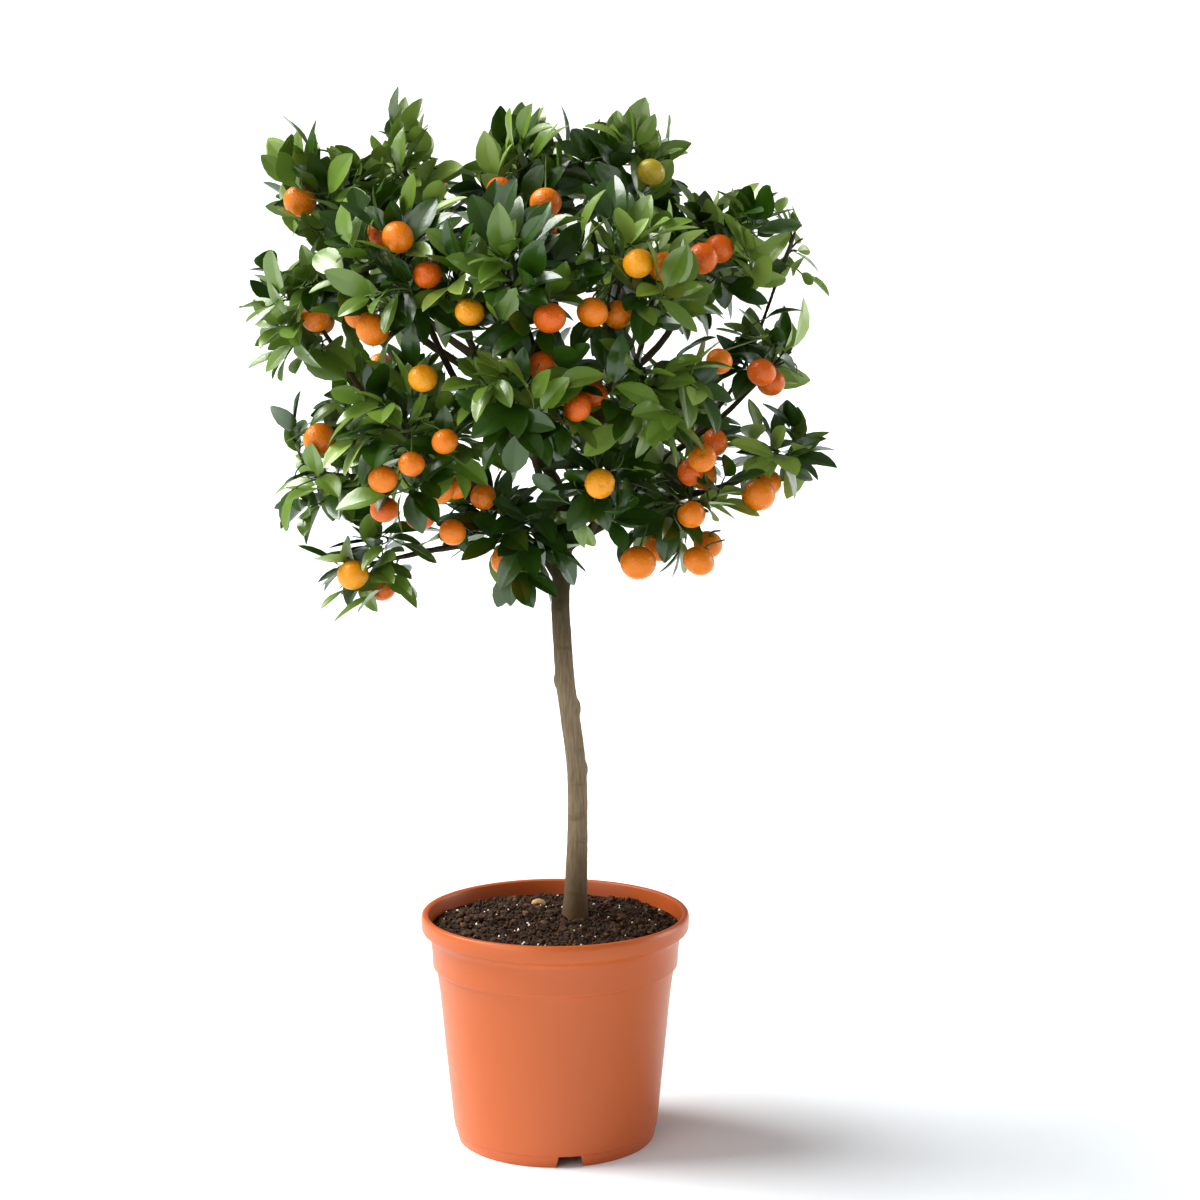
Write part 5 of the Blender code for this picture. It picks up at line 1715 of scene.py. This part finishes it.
            if any(past_edge(mark) for mark in marks) or not self.leaf_stays_in(marks):
                continue
            if self.share_out(marks[3]) > SIZES.fringe and self.obstacles.tip_near(
                    marks[3], SIZES.fringe_gap):
                continue
            tree = BVHTree.FromPolygons(corners, OUTLINE_FACES)
            if self.obstacles.block_leaf(leaf, tree):
                continue
            if any(crosses(tree, shoot.line) for shoot in self.shoots if shoot is not bearer):
                continue
            self.obstacles.remember(leaf, tree)
            self.leaves.append(leaf)
            return


# ---------------------------------------------------------------- leaves, twigs and fruit

class LeafShape:
    """The form of one citrus leaf: an elliptic, bluntly pointed blade on a short petiole."""

    rows: tuple = ((0.0, 0.055), (0.11, 0.06), (0.22, 0.52), (0.38, 0.90), (0.57, 1.0),
                   (0.76, 0.82), (0.91, 0.46), (1.0, 0.08))
    columns: tuple = (-1.0, -0.52, -0.05, 0.05, 0.52, 1.0)
    petiole: float = 0.10               # share of the length
    blade: float = 0.90                 # and the rest of it
    drawn_in: float = 0.04              # how much a bend shortens the leaf
    ripples: float = 9.0                # radians of wave along an edge
    ripple_shift: float = 2.0           # of one edge's wave against the other's
    bulge: float = 0.05
    thickness: tuple = (0.6, 0.4)       # of the blade, and more near the petiole
    thick_until: float = 0.15           # share of the length

    def corners(self, leaf: Leaf) -> list[Vector]:
        """The places of one leaf's corners, six above and one below in each row.

        Args:
            leaf: the leaf.

        Returns:
            the corners, row by row.
        """
        side, way, up = leaf.axes()
        half = leaf.length * leaf.width / 2.0
        corners = []
        for share, wide in self.rows:
            blade = max(0.0, share - self.petiole) / self.blade
            middle = (leaf.root
                      + way * leaf.length * (share - self.drawn_in * leaf.bend * blade)
                      - up * leaf.length * leaf.bend * blade ** 2)
            turn = leaf.twist * blade
            across = side * math.cos(turn) + up * math.sin(turn)
            over = up * math.cos(turn) - side * math.sin(turn)
            reach = half * wide
            for column in self.columns:
                far = abs(column)
                shift = self.ripple_shift if column > 0.0 else 0.0
                wave = leaf.wave * math.sin(self.ripples * share + shift) * far
                bulge = self.bulge * math.sin(math.pi * far)
                corners.append(middle + across * reach * column
                               + over * reach * (far * leaf.fold + wave + bulge))
            thin, more = self.thickness
            depth = thin + more * (share < self.thick_until)
            corners.append(middle - over * SIZES.leaf_thickness * depth)
        return corners

    def faces(self) -> tuple[list[list[int]], list[int]]:
        """The faces of one leaf and their material slots: above 0, below 1, midrib 2.

        Returns:
            the faces and their slots.
        """
        wide = len(self.columns)
        row = wide + 1
        faces = []
        slots = []
        for j in range(len(self.rows) - 1):
            here, after = j * row, (j + 1) * row
            for c in range(wide - 1):
                faces.append([here + c, here + c + 1, after + c + 1, after + c])
                slots.append(2 if c == wide // 2 - 1 or j == 0 else 0)
            faces.append([after, after + wide, here + wide, here])
            faces.append([after + wide, after + wide - 1, here + wide - 1, here + wide])
            slots.extend((2, 2) if j == 0 else (1, 1))
        last = (len(self.rows) - 1) * row
        faces.append([wide, *range(wide - 1, -1, -1)])
        faces.append([last + wide, *range(last, last + wide)])
        slots.extend((2, 0))
        return faces, slots


@dataclass
class Crown:
    """Everything that grows on the boughs: twigs, leaves, fruit and their calyxes."""

    skeleton: Skeleton
    twig_sides: int = 6
    fruit_segments: int = 24
    fruit_rings: int = 14
    flatness: float = 0.90
    pole_share: float = 0.97            # of the half-height, above which a pole is flattened
    dimple_width: float = 0.10
    dimple_depth: float = 0.045
    squash: tuple = (0.95, 1.04)        # the least and greatest height of a fruit
    calyx_radius: float = 2.6 * MM
    calyx_corners: int = 10
    calyx_notch: float = 0.58           # its radius between two lobes, of that at a lobe
    calyx_stray: float = 0.12
    calyx_levels: tuple = (-0.9 * MM, 0.15 * MM, 0.9 * MM, -1.2 * MM)  # from the fruit's top

    def build(self) -> None:
        """Grow the crown and make its pieces."""
        self.obstacles = Obstacles(self.skeleton)
        self.growths = [MassGrowth(plan, self.skeleton.lines[plan.name], self.obstacles)
                        for plan in MASSES]
        self.nodes = [f"mass_{plan.name}" for plan in MASSES]
        LOG.info("leaves grown: %d", sum(len(growth.leaves) for growth in self.growths))
        self.make_leaves()
        self.make_twigs()
        self.make_fruit()

    def make_leaves(self) -> None:
        """One joined piece of leaves for each tone."""
        shape = LeafShape()
        faces, slots = shape.faces()
        for tone in Tone:
            batch = Batch()
            for growth in self.growths:
                for leaf in growth.leaves:
                    if leaf.tone is tone:
                        batch.add(shape.corners(leaf), faces, slots)
            piece = batch.build(f"leaves_{tone.name.lower()}")
            smooth_by_angle(piece, 50.0)
            dress(piece, piece.name, "foliage", self.nodes, *tone.finishes)

    def make_twigs(self) -> None:
        """The woody stems and shoots as one piece, green twigs and stalks as another."""
        woody, green = Batch(), Batch()
        for growth in self.growths:
            for twig in (growth.twigs[0], *growth.shoots):
                woody.add_tube(twig.line, twig.radii, self.twig_sides)
            for twig in (*growth.twigs[1:], *growth.stalks):
                green.add_tube(twig.line, twig.radii, self.twig_sides)
        dress(woody.build("twigs_woody"), "twigs_woody", "bark", self.nodes, YOUNG_WOOD)
        dress(green.build("twigs_green"), "twigs_green", "bark", self.nodes, GREEN_STEM)

    def fruit_form(self) -> tuple[np.ndarray, list[list[int]], list[int]]:
        """One fruit of radius 1 with its stalk end up: its corners, faces and slots.

        Returns:
            its corners, faces and slots.
        """
        form = primitive(bpy.ops.mesh.primitive_uv_sphere_add, segments=self.fruit_segments,
                         ring_count=self.fruit_rings, radius=1.0)
        bpy.ops.object.mode_set(mode="EDIT")
        bpy.ops.mesh.select_all(action="SELECT")
        bpy.ops.transform.resize(value=(1.0, 1.0, self.flatness))
        for pole in (1.0, -1.0):
            mesh = bmesh.from_edit_mesh(form.data)
            for face in mesh.faces:
                height = face.calc_center_median().z * pole
                face.select_set(height > self.pole_share * self.flatness)
            bmesh.update_edit_mesh(form.data)
            bpy.ops.mesh.inset(thickness=self.dimple_width)
            mesh = bmesh.from_edit_mesh(form.data)
            for face in mesh.faces:
                if face.select:
                    face.material_index = 1 if pole < 0.0 else 0
            bmesh.update_edit_mesh(form.data)
            bpy.ops.transform.translate(value=(0.0, 0.0, -self.dimple_depth * pole))
        bpy.ops.object.mode_set(mode="OBJECT")
        return taken_apart(form)

    def make_fruit(self) -> None:
        """One joined piece of fruit for each ripeness, and one of all the calyxes."""
        corners, faces, slots = self.fruit_form()
        batches = {ripeness: Batch() for ripeness in Ripeness}
        calyxes = Batch()
        rng = random.Random("fruit")
        for fruit in self.obstacles.fruit:
            turn = fruit.stalk.to_track_quat("Z", "Y").to_matrix()
            turn = np.array(turn @ Matrix.Rotation(rng.uniform(0.0, math.tau), 3, "Z"))
            places = corners * (1.0, 1.0, rng.uniform(*self.squash)) * fruit.radius
            batches[fruit.ripeness].add(places @ turn.T + np.array(fruit.centre), faces, slots)
            self.add_calyx(calyxes, fruit, turn, rng)
        for ripeness, batch in batches.items():
            name = f"fruit_{ripeness.name.lower()}"
            dress(batch.build(name), name, "foliage", self.nodes, ripeness.finish, STYLE_SCAR)
        dress(calyxes.build("fruit_calyxes", False), "fruit_calyxes", "foliage", self.nodes, CALYX)

    def add_calyx(self, batch: Batch, fruit: Fruit, turn: np.ndarray,
                  rng: random.Random) -> None:
        """The five-lobed calyx that stays on a fruit where its stalk enters.

        Args:
            batch: the mesh that it joins.
            fruit: the fruit.
            turn: how the fruit is turned.
            rng: where its draws come from.
        """
        top = fruit.radius * self.flatness
        ring = []
        count = self.calyx_corners
        stray = self.calyx_stray
        for i in range(count):
            angle = math.tau * (i + rng.uniform(-stray, stray)) / count
            reach = self.calyx_radius * (1.0 if i % 2 == 0 else self.calyx_notch)
            ring.append((reach * math.cos(angle), reach * math.sin(angle)))
        under, over, crown, base = self.calyx_levels
        corners = [(x, y, top + under) for x, y in ring]
        corners += [(x, y, top + over) for x, y in ring]
        corners += [(0.0, 0.0, top + crown), (0.0, 0.0, top + base)]
        pairs = [(i, (i + 1) % count) for i in range(count)]
        faces = [[i, after, count + after, count + i] for i, after in pairs]
        faces += [[count + i, count + after, 2 * count] for i, after in pairs]
        faces += [[after, i, 2 * count + 1] for i, after in pairs]
        batch.add(np.array(corners) @ turn.T + np.array(fruit.centre), faces)


# ---------------------------------------------------------------- trunk and boughs

@dataclass
class Wood:
    """The trunk and all boughs as one piece of bark, grown together at their forks."""

    skeleton: Skeleton
    voxel: float = 1.35 * MM
    resolution: int = 6
    foot_depth: float = 5.0 * MM        # how far the foot reaches into the compost
    relief: tuple = ((9.0, 0.55), (3.2, 0.35))      # size and depth in millimetres
    scar_offset: float = 4.5            # millimetres from the trunk's middle to a scar's
    scar_height: float = 1.8            # of its width

    def build(self) -> None:
        """Join the limbs, melt them together and roughen their surface."""
        tubes = []
        for name, line in self.skeleton.fine_lines.items():
            tubes.append(limb_tube(name, line, self.skeleton.fine_radii[name], self.resolution))
        tubes += [self.scar(i, *knot) for i, knot in enumerate(TRUNK_KNOTS)]
        wood = pick(*tubes)
        bpy.ops.object.join()
        apply_modifier(wood, "REMESH", mode="VOXEL", voxel_size=self.voxel, use_smooth_shade=True)
        apply_modifier(wood, "SMOOTH", factor=0.5, iterations=3)
        self.trim_foot(wood)
        for size, depth in self.relief:
            roughen(wood, f"bark_{size:.0f}", size, depth)
        pick(wood)
        bpy.ops.object.shade_smooth()
        nodes = ["trunk", *(f"bough_{plan.name}" for plan in MASSES)]
        dress(wood, "trunk_and_boughs", "bark", nodes, BARK)

    def scar(self, number: int, share: float, turn: float, radius: float) -> bpy.types.Object:
        """One healed pruning scar on the trunk, as a low swelling.

        Args:
            number: its number, from 0.
            share: its height, as a share of the trunk's.
            turn: its side of the trunk, in degrees.
            radius: its radius in millimetres.

        Returns:
            the swelling.
        """
        line = self.skeleton.fine_lines["trunk"]
        low = GROUND + share * (line[-1].z - GROUND)
        middle = min(line, key=lambda place: abs(place.z - low))
        out = Vector((math.cos(math.radians(turn)), math.sin(math.radians(turn)), 0.0))
        scar = primitive(bpy.ops.mesh.primitive_uv_sphere_add, segments=24, ring_count=16,
                         radius=radius * MM, location=middle + out * self.scar_offset * MM)
        scar.scale.z = self.scar_height
        settle(scar)
        scar.name = f"scar_{number + 1}"
        return scar

    def trim_foot(self, wood: bpy.types.Object) -> None:
        """Cut the foot level, a little under the surface of the compost.

        Args:
            wood: the trunk and boughs.
        """
        pick(wood)
        bpy.ops.object.mode_set(mode="EDIT")
        bpy.ops.mesh.select_all(action="SELECT")
        bpy.ops.mesh.bisect(plane_co=(0.0, 0.0, GROUND - self.foot_depth), plane_no=(0, 0, 1),
                            use_fill=True, clear_inner=True)
        bpy.ops.object.mode_set(mode="OBJECT")


# ---------------------------------------------------------------- pot and compost

def turned(name: str, section: Sequence[tuple], segments: int) -> bpy.types.Object:
    """Turn a section round the upright axis and close it at both ends.

    Args:
        name: the object's name.
        section: radius and height of each point in metres, from the underside outwards and up.
        segments: the corners of each ring.

    Returns:
        The turned body, facing outwards.
    """
    radius, height = section[0]
    thing = primitive(bpy.ops.mesh.primitive_circle_add, vertices=segments, radius=radius,
                      fill_type="NOTHING", location=(0.0, 0.0, height))
    thing.name = name
    settle(thing)
    bpy.ops.object.mode_set(mode="EDIT")
    bpy.ops.mesh.select_all(action="SELECT")
    for next_radius, next_height in section[1:]:
        bpy.ops.mesh.extrude_edges_move(
            TRANSFORM_OT_translate={"value": (0.0, 0.0, next_height - height)})
        scale = next_radius / radius
        bpy.ops.transform.resize(value=(scale, scale, 1.0), center_override=(0.0, 0.0, 0.0))
        radius, height = next_radius, next_height
    bpy.ops.mesh.select_all(action="SELECT")
    bpy.ops.mesh.fill_holes(sides=0)
    bpy.ops.mesh.select_all(action="SELECT")
    bpy.ops.mesh.normals_make_consistent(inside=False)
    bpy.ops.object.mode_set(mode="OBJECT")
    return thing


@dataclass
class NurseryPot:
    """The injection-moulded pot: rolled rim, collar, tapering body and foot with notches."""

    segments: int = 144
    outside: tuple = ((81.0, 0.0), (81.5, 0.6), (82.95, 7.5), (83.05, 9.4), (83.75, 10.2),
                      (84.65, 16.0), (86.9, 40.0), (90.4, 74.6), (93.5, 108.6), (95.2, 125.6),
                      (96.1, 132.0), (97.0, 138.2), (97.9, 142.6), (98.4, 144.3), (99.9, 145.0),
                      (100.5, 145.8), (100.7, 147.2), (101.0, 156.0), (101.75, 162.6),
                      (102.1, 166.4), (102.6, 169.0), (103.6, 170.8), (106.9, 173.9),
                      (108.8, 175.0), (109.5, 176.6), (109.75, 180.0), (109.9, 184.0),
                      (109.55, 186.6), (108.5, 188.0), (107.0, 188.5))
    inside: tuple = ((105.4, 188.3), (104.2, 187.4), (103.7, 186.0), (103.45, 180.0),
                     (101.2, 168.4), (100.1, 164.0), (99.3, 156.0), (98.9, 148.0), (97.6, 144.4),
                     (95.0, 138.0), (94.2, 131.0), (93.4, 125.6), (91.7, 108.6), (88.6, 74.6),
                     (85.1, 40.0), (82.3, 17.0), (81.6, 13.6), (80.0, 12.2), (3.0, 12.2))
    foot_inside: tuple = ((3.0, 10.0), (76.8, 10.0), (78.0, 9.6), (78.1, 0.5), (78.5, 0.0))
    notches: int = 4
    holes: int = 6
    first_notch: float = math.radians(-82.3)
    notch_width: float = 26.0 * MM
    notch_top_width: float = 18.0 * MM
    notch_height: float = 9.2 * MM
    hole_radius: float = 6.0 * MM
    hole_circle: float = 55.0 * MM

    def build(self) -> None:
        """Turn the pot, cut its notches and holes and shade it smooth but for its sharp edges."""
        section = [(r * MM, z * MM) for r, z in (*self.foot_inside, *self.outside, *self.inside)]
        pot = turned("pot", section, self.segments)
        cutters = [self.notch(i) for i in range(self.notches)]
        cutters += [self.hole(i) for i in range(self.holes)]
        cutter = pick(*cutters)
        bpy.ops.object.join()
        apply_modifier(pot, "BOOLEAN", object=cutter, operation="DIFFERENCE", solver="EXACT",
                       use_self=True)
        remove_object(cutter)
        smooth_by_angle(pot, 32.0)
        dress(pot, "nursery_pot", "pot_plastic", ["pot"], POT_PLASTIC)

    def notch(self, number: int) -> bpy.types.Object:
        """The cutter of one notch in the foot, narrower at its top.

        Args:
            number: its number, from 0.

        Returns:
            the cutter.
        """
        cutter = primitive(bpy.ops.mesh.primitive_cube_add, size=1.0,
                           location=(80.5 * MM, 0.0, 0.0),
                           scale=(12.0 * MM, self.notch_width, 2.0 * self.notch_height))
        settle(cutter)
        bpy.ops.object.mode_set(mode="EDIT")
        mesh = bmesh.from_edit_mesh(cutter.data)
        for corner in mesh.verts:
            corner.select_set(corner.co.z > 0.0)
        mesh.select_flush_mode()
        bmesh.update_edit_mesh(cutter.data)
        bpy.ops.transform.resize(value=(1.0, self.notch_top_width / self.notch_width, 1.0),
                                 center_override=(0.0, 0.0, 0.0))
        bpy.ops.object.mode_set(mode="OBJECT")
        cutter.rotation_euler.z = self.first_notch + math.tau * number / self.notches
        settle(cutter)
        return cutter

    def hole(self, number: int) -> bpy.types.Object:
        """The cutter of one drain hole in the floor.

        Args:
            number: its number, from 0.

        Returns:
            the cutter.
        """
        angle = self.first_notch + math.tau * (number + 0.5) / self.holes
        cutter = primitive(
            bpy.ops.mesh.primitive_cylinder_add, vertices=32, radius=self.hole_radius,
            depth=12.0 * MM, location=(self.hole_circle * math.cos(angle),
                                       self.hole_circle * math.sin(angle), 11.0 * MM))
        settle(cutter)
        return cutter


@dataclass
class Compost:
    """The compost: a plug that fills the pot, a crumbly top, and what is mixed into it."""

    segments: int = 180
    ring_step: float = 2.4
    sides: tuple = ((3.0, 12.7), (79.8, 12.7), (81.8, 17.0), (84.8, 40.0), (88.3, 74.6),
                    (91.4, 108.6), (93.1, 125.6), (94.6, 138.0), (97.2, 144.4), (98.5, 148.0),
                    (98.9, 156.0), (99.7, 164.0), (100.7, 168.4), (102.2, 175.8))
    edge_height: float = 177.0
    rise: float = 4.8                   # from the edge to the trunk
    rise_width: float = 72.0            # how far in from the edge it has risen so far
    middle_hole: float = 2.0            # radius that the turning leaves open
    level_from: float = 176.4           # above this height the top is uneven
    even_edge: float = 3.0              # width of its even edge
    relief: tuple = ((16.0, 9.0, "SOFT_NOISE"), (8.0, 7.0, "HARD_NOISE"),
                     (3.0, 2.4, "HARD_NOISE"))      # size and depth in millimetres, and kind
    strewn_radius: float = 99.4
    above: float = 0.25                 # height in metres that places are sought from
    clods: int = 420
    crumbs: int = 3600
    perlite: int = 85
    chips: int = 70
    pebble_place: tuple = (-14.0 * MM, 52.0 * MM)
    pebble_radius: float = 4.6 * MM
    pebble_form: tuple = (1.5, 1.0, 0.8)

    def build(self) -> None:
        """Make the bed and strew everything on it."""
        bed = self.bed()
        surface = BVHTree.FromObject(bed, bpy.context.evaluated_depsgraph_get())
        dress(bed, "compost_bed", "soil", ["soil"], COMPOST)
        self.surface = surface
        self.rng = random.Random("compost")
        self.strew("compost_clods", self.clods, (1.6, 4.4), CLOD, (0.4, 0.8), 0.1, 2)
        self.strew("compost_crumbs", self.crumbs, (0.5, 1.8), CRUMB, (0.35, 0.9), 1.0)
        self.strew("compost_perlite", self.perlite, (0.7, 1.3), PERLITE, (0.8, 1.0), 2.0)
        self.strew("compost_bark_chips", self.chips, (1.8, 4.4), CHIP, (0.22, 0.45), 0.7)
        self.pebble()

    def bed(self) -> bpy.types.Object:
        """The plug with its uneven top.

        Returns:
            the plug.
        """
        section = [(r * MM, z * MM) for r, z in self.sides]
        rim = self.sides[-1][0]
        width = rim - self.middle_hole
        count = int(width / self.ring_step)
        for i in range(1, count + 1):
            radius = rim - width * i / count
            height = self.edge_height + self.rise * math.sin(
                0.5 * math.pi * min(1.0, (rim - radius) / self.rise_width))
            section.append((radius * MM, height * MM))
        bed = turned("compost_bed", section, self.segments)
        top = bed.vertex_groups.new(name="top")
        for corner in bed.data.vertices:
            radius = math.hypot(corner.co.x, corner.co.y)
            if corner.co.z > self.level_from * MM:
                inwards = (rim * MM - radius) / (self.even_edge * MM)
                top.add([corner.index], min(1.0, inwards), "REPLACE")
        for size, depth, kind in self.relief:
            roughen(bed, f"lumps_{size:.0f}", size, depth,
                    {"noise_depth": 2, "noise_type": kind}, direction="Z", vertex_group="top")
        smooth_by_angle(bed, 40.0)
        return bed

    def spot(self) -> tuple[Vector, Vector] | None:
        """A random place on the top and the way the surface faces there.

        Returns:
            the place and the way, or None past the edge.
        """
        radius = self.strewn_radius * MM * math.sqrt(self.rng.random())
        turn = self.rng.uniform(0.0, math.tau)
        place, normal, _, _ = self.surface.ray_cast(
            Vector((radius * math.cos(turn), radius * math.sin(turn), self.above)), -UP)
        return (place, normal) if place is not None else None

    def strew(self, name: str, count: int, sizes: tuple[float, float], finish: Finish,
              flat: tuple[float, float], proud: float, detail: int = 1) -> None:
        """Strew lumps of one kind over the top, each pressed in a little.

        Args:
            name: the piece's name.
            count: how many there are.
            sizes: the least and greatest half-size in millimetres.
            finish: what they are made of.
            flat: the least and greatest thickness, as a share of their width.
            proud: how far its middle lies above the surface, as a share of its thickness.
            detail: how finely a lump is faceted.
        """
        corners, faces, _ = taken_apart(
            primitive(bpy.ops.mesh.primitive_ico_sphere_add, subdivisions=detail, radius=1.0))
        batch = Batch()
        for _ in range(count):
            found = self.spot()
            if found is None:
                continue
            place, normal = found
            size = self.rng.uniform(*sizes) * MM
            thick = self.rng.uniform(*flat)
            shape = corners * (size, size * self.rng.uniform(0.55, 1.0), size * thick)
            shape = shape * (1.0 + 0.34 * np.array(
                [[self.rng.uniform(-1.0, 1.0)] for _ in corners]))
            lean = Vector(self.rng.uniform(-0.5, 0.5) for _ in range(3))
            turn = (normal + lean).normalized().to_track_quat("Z", "Y").to_matrix()
            spin = np.array(turn @ Matrix.Rotation(self.rng.uniform(0.0, math.tau), 3, "Z"))
            batch.add(shape @ spin.T + np.array(place + normal * size * thick * proud), faces)
        piece = batch.build(name)
        dress(piece, name, "soil", ["soil"], finish)

    def pebble(self) -> None:
        """One rounded tan pebble behind the trunk."""
        place, _, _, _ = self.surface.ray_cast(
            Vector((*self.pebble_place, self.above)), -UP)
        pebble = primitive(bpy.ops.mesh.primitive_uv_sphere_add, segments=28, ring_count=18,
                           radius=self.pebble_radius, location=place + UP * 1.5 * MM,
                           rotation=(0.1, 0.2, 0.6))
        pebble.scale = self.pebble_form
        settle(pebble)
        roughen(pebble, "pebble_dents", 5.0, 0.9)
        pick(pebble)
        bpy.ops.object.shade_smooth()
        dress(pebble, "compost_pebble", "soil", ["soil"], STONE)


# ---------------------------------------------------------------- studio

@dataclass
class Studio:
    """A pale floor under soft light, most of it from the left, and the camera."""

    floor_size: float = 60.0
    floor_colour: str = "F4F9FC"
    sky_strength: float = 0.33
    sky_slope: float = 0.45             # how much brighter it is towards its bright side
    sky_bright_side: tuple = (-0.15, -0.45, -0.88)
    suns: tuple = (                     # name, strength, softness in degrees, where it comes from
        ("key", 4.5, 42.0, (-0.68, 0.12, 0.84)),
        ("fill", 0.85, 45.0, (-0.66, -0.72, 0.30)),
        ("rim", 0.95, 30.0, (0.90, 0.30, 0.20)),
    )
    camera_place: tuple = (0.0, -1.875, 0.688)
    camera_pitch: float = math.radians(7.37)
    camera_yaw: float = math.radians(1.12)
    lens: float = 70.3                  # in millimetres, on a sensor of the next width
    sensor: float = 36.0
    sight: float = 200.0                # how far the camera sees, in metres
    white_strength: float = 1.1         # of the surrounding, as the camera sees it

    def build(self) -> None:
        """Lay the floor, set the lights and aim the camera."""
        floor = primitive(bpy.ops.mesh.primitive_plane_add, size=self.floor_size)
        floor.name = "studio_floor"
        floor.data.materials.append(Finish("matt_white_paper", self.floor_colour, 0.9).material())
        self.set_sky()
        for sun in self.suns:
            self.set_sun(*sun)
        self.set_camera()

    def set_sky(self) -> None:
        """A white surrounding, as bright to the eye as the lit floor."""
        world = bpy.data.worlds.new("white_surrounding")
        bpy.context.scene.world = world
        world.use_nodes = True
        tree = world.node_tree
        tree.nodes.clear()
        path = add_node(tree, "ShaderNodeLightPath")
        way = add_node(tree, "ShaderNodeTexCoord").outputs["Generated"]
        side = Vector(self.sky_bright_side).normalized()
        share = add_node(tree, "ShaderNodeVectorMath", {"operation": "DOT_PRODUCT", 1: side},
                         {0: way}).outputs["Value"]
        strength = add_node(tree, "ShaderNodeMapRange",
                            {"From Min": -1.0,
                             "To Min": self.sky_strength * (1.0 - self.sky_slope),
                             "To Max": self.sky_strength * (1.0 + self.sky_slope)},
                            {"Value": share})
        glow = add_node(tree, "ShaderNodeBackground", {"Color": (1, 1, 1, 1)},
                        {"Strength": strength.outputs["Result"]})
        white = add_node(tree, "ShaderNodeBackground",
                         {"Color": (1, 1, 1, 1), "Strength": self.white_strength})
        mix = add_node(tree, "ShaderNodeMixShader", None,
                       {0: path.outputs["Is Camera Ray"], 1: glow.outputs[0],
                        2: white.outputs[0]})
        add_node(tree, "ShaderNodeOutputWorld", None, {"Surface": mix.outputs[0]})

    def set_sun(self, name: str, strength: float, softness: float, source: tuple) -> None:
        """One large soft light.

        Args:
            name: its name.
            strength: its strength.
            softness: its width in degrees.
            source: the way towards it.
        """
        light = bpy.data.lights.new(name, "SUN")
        light.energy = strength
        light.angle = math.radians(softness)
        sun = bpy.data.objects.new(name, light)
        bpy.context.scene.collection.objects.link(sun)
        sun.rotation_euler = Vector(source).to_track_quat("Z", "Y").to_euler()

    def set_camera(self) -> None:
        """The camera, for a square frame."""
        data = bpy.data.cameras.new("camera")
        data.lens = self.lens
        data.sensor_width = self.sensor
        data.clip_end = self.sight
        camera = bpy.data.objects.new("camera", data)
        bpy.context.scene.collection.objects.link(camera)
        camera.location = self.camera_place
        camera.rotation_euler = (math.radians(90.0) - self.camera_pitch, 0.0, -self.camera_yaw)
        bpy.context.scene.camera = camera
        view = bpy.context.scene.view_settings
        view.view_transform = "Standard"
        view.look = "Medium High Contrast"


# ---------------------------------------------------------------- the whole


def main() -> None:
    """Load the frame and build every piece on it, logging the faces of each."""
    logging.basicConfig(level=logging.INFO, format="%(name)s %(message)s")
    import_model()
    NurseryPot().build()
    Compost().build()
    skeleton = Skeleton()
    Wood(skeleton).build()
    Crown(skeleton).build()
    Studio().build()


if __name__ == "__main__":
    main()
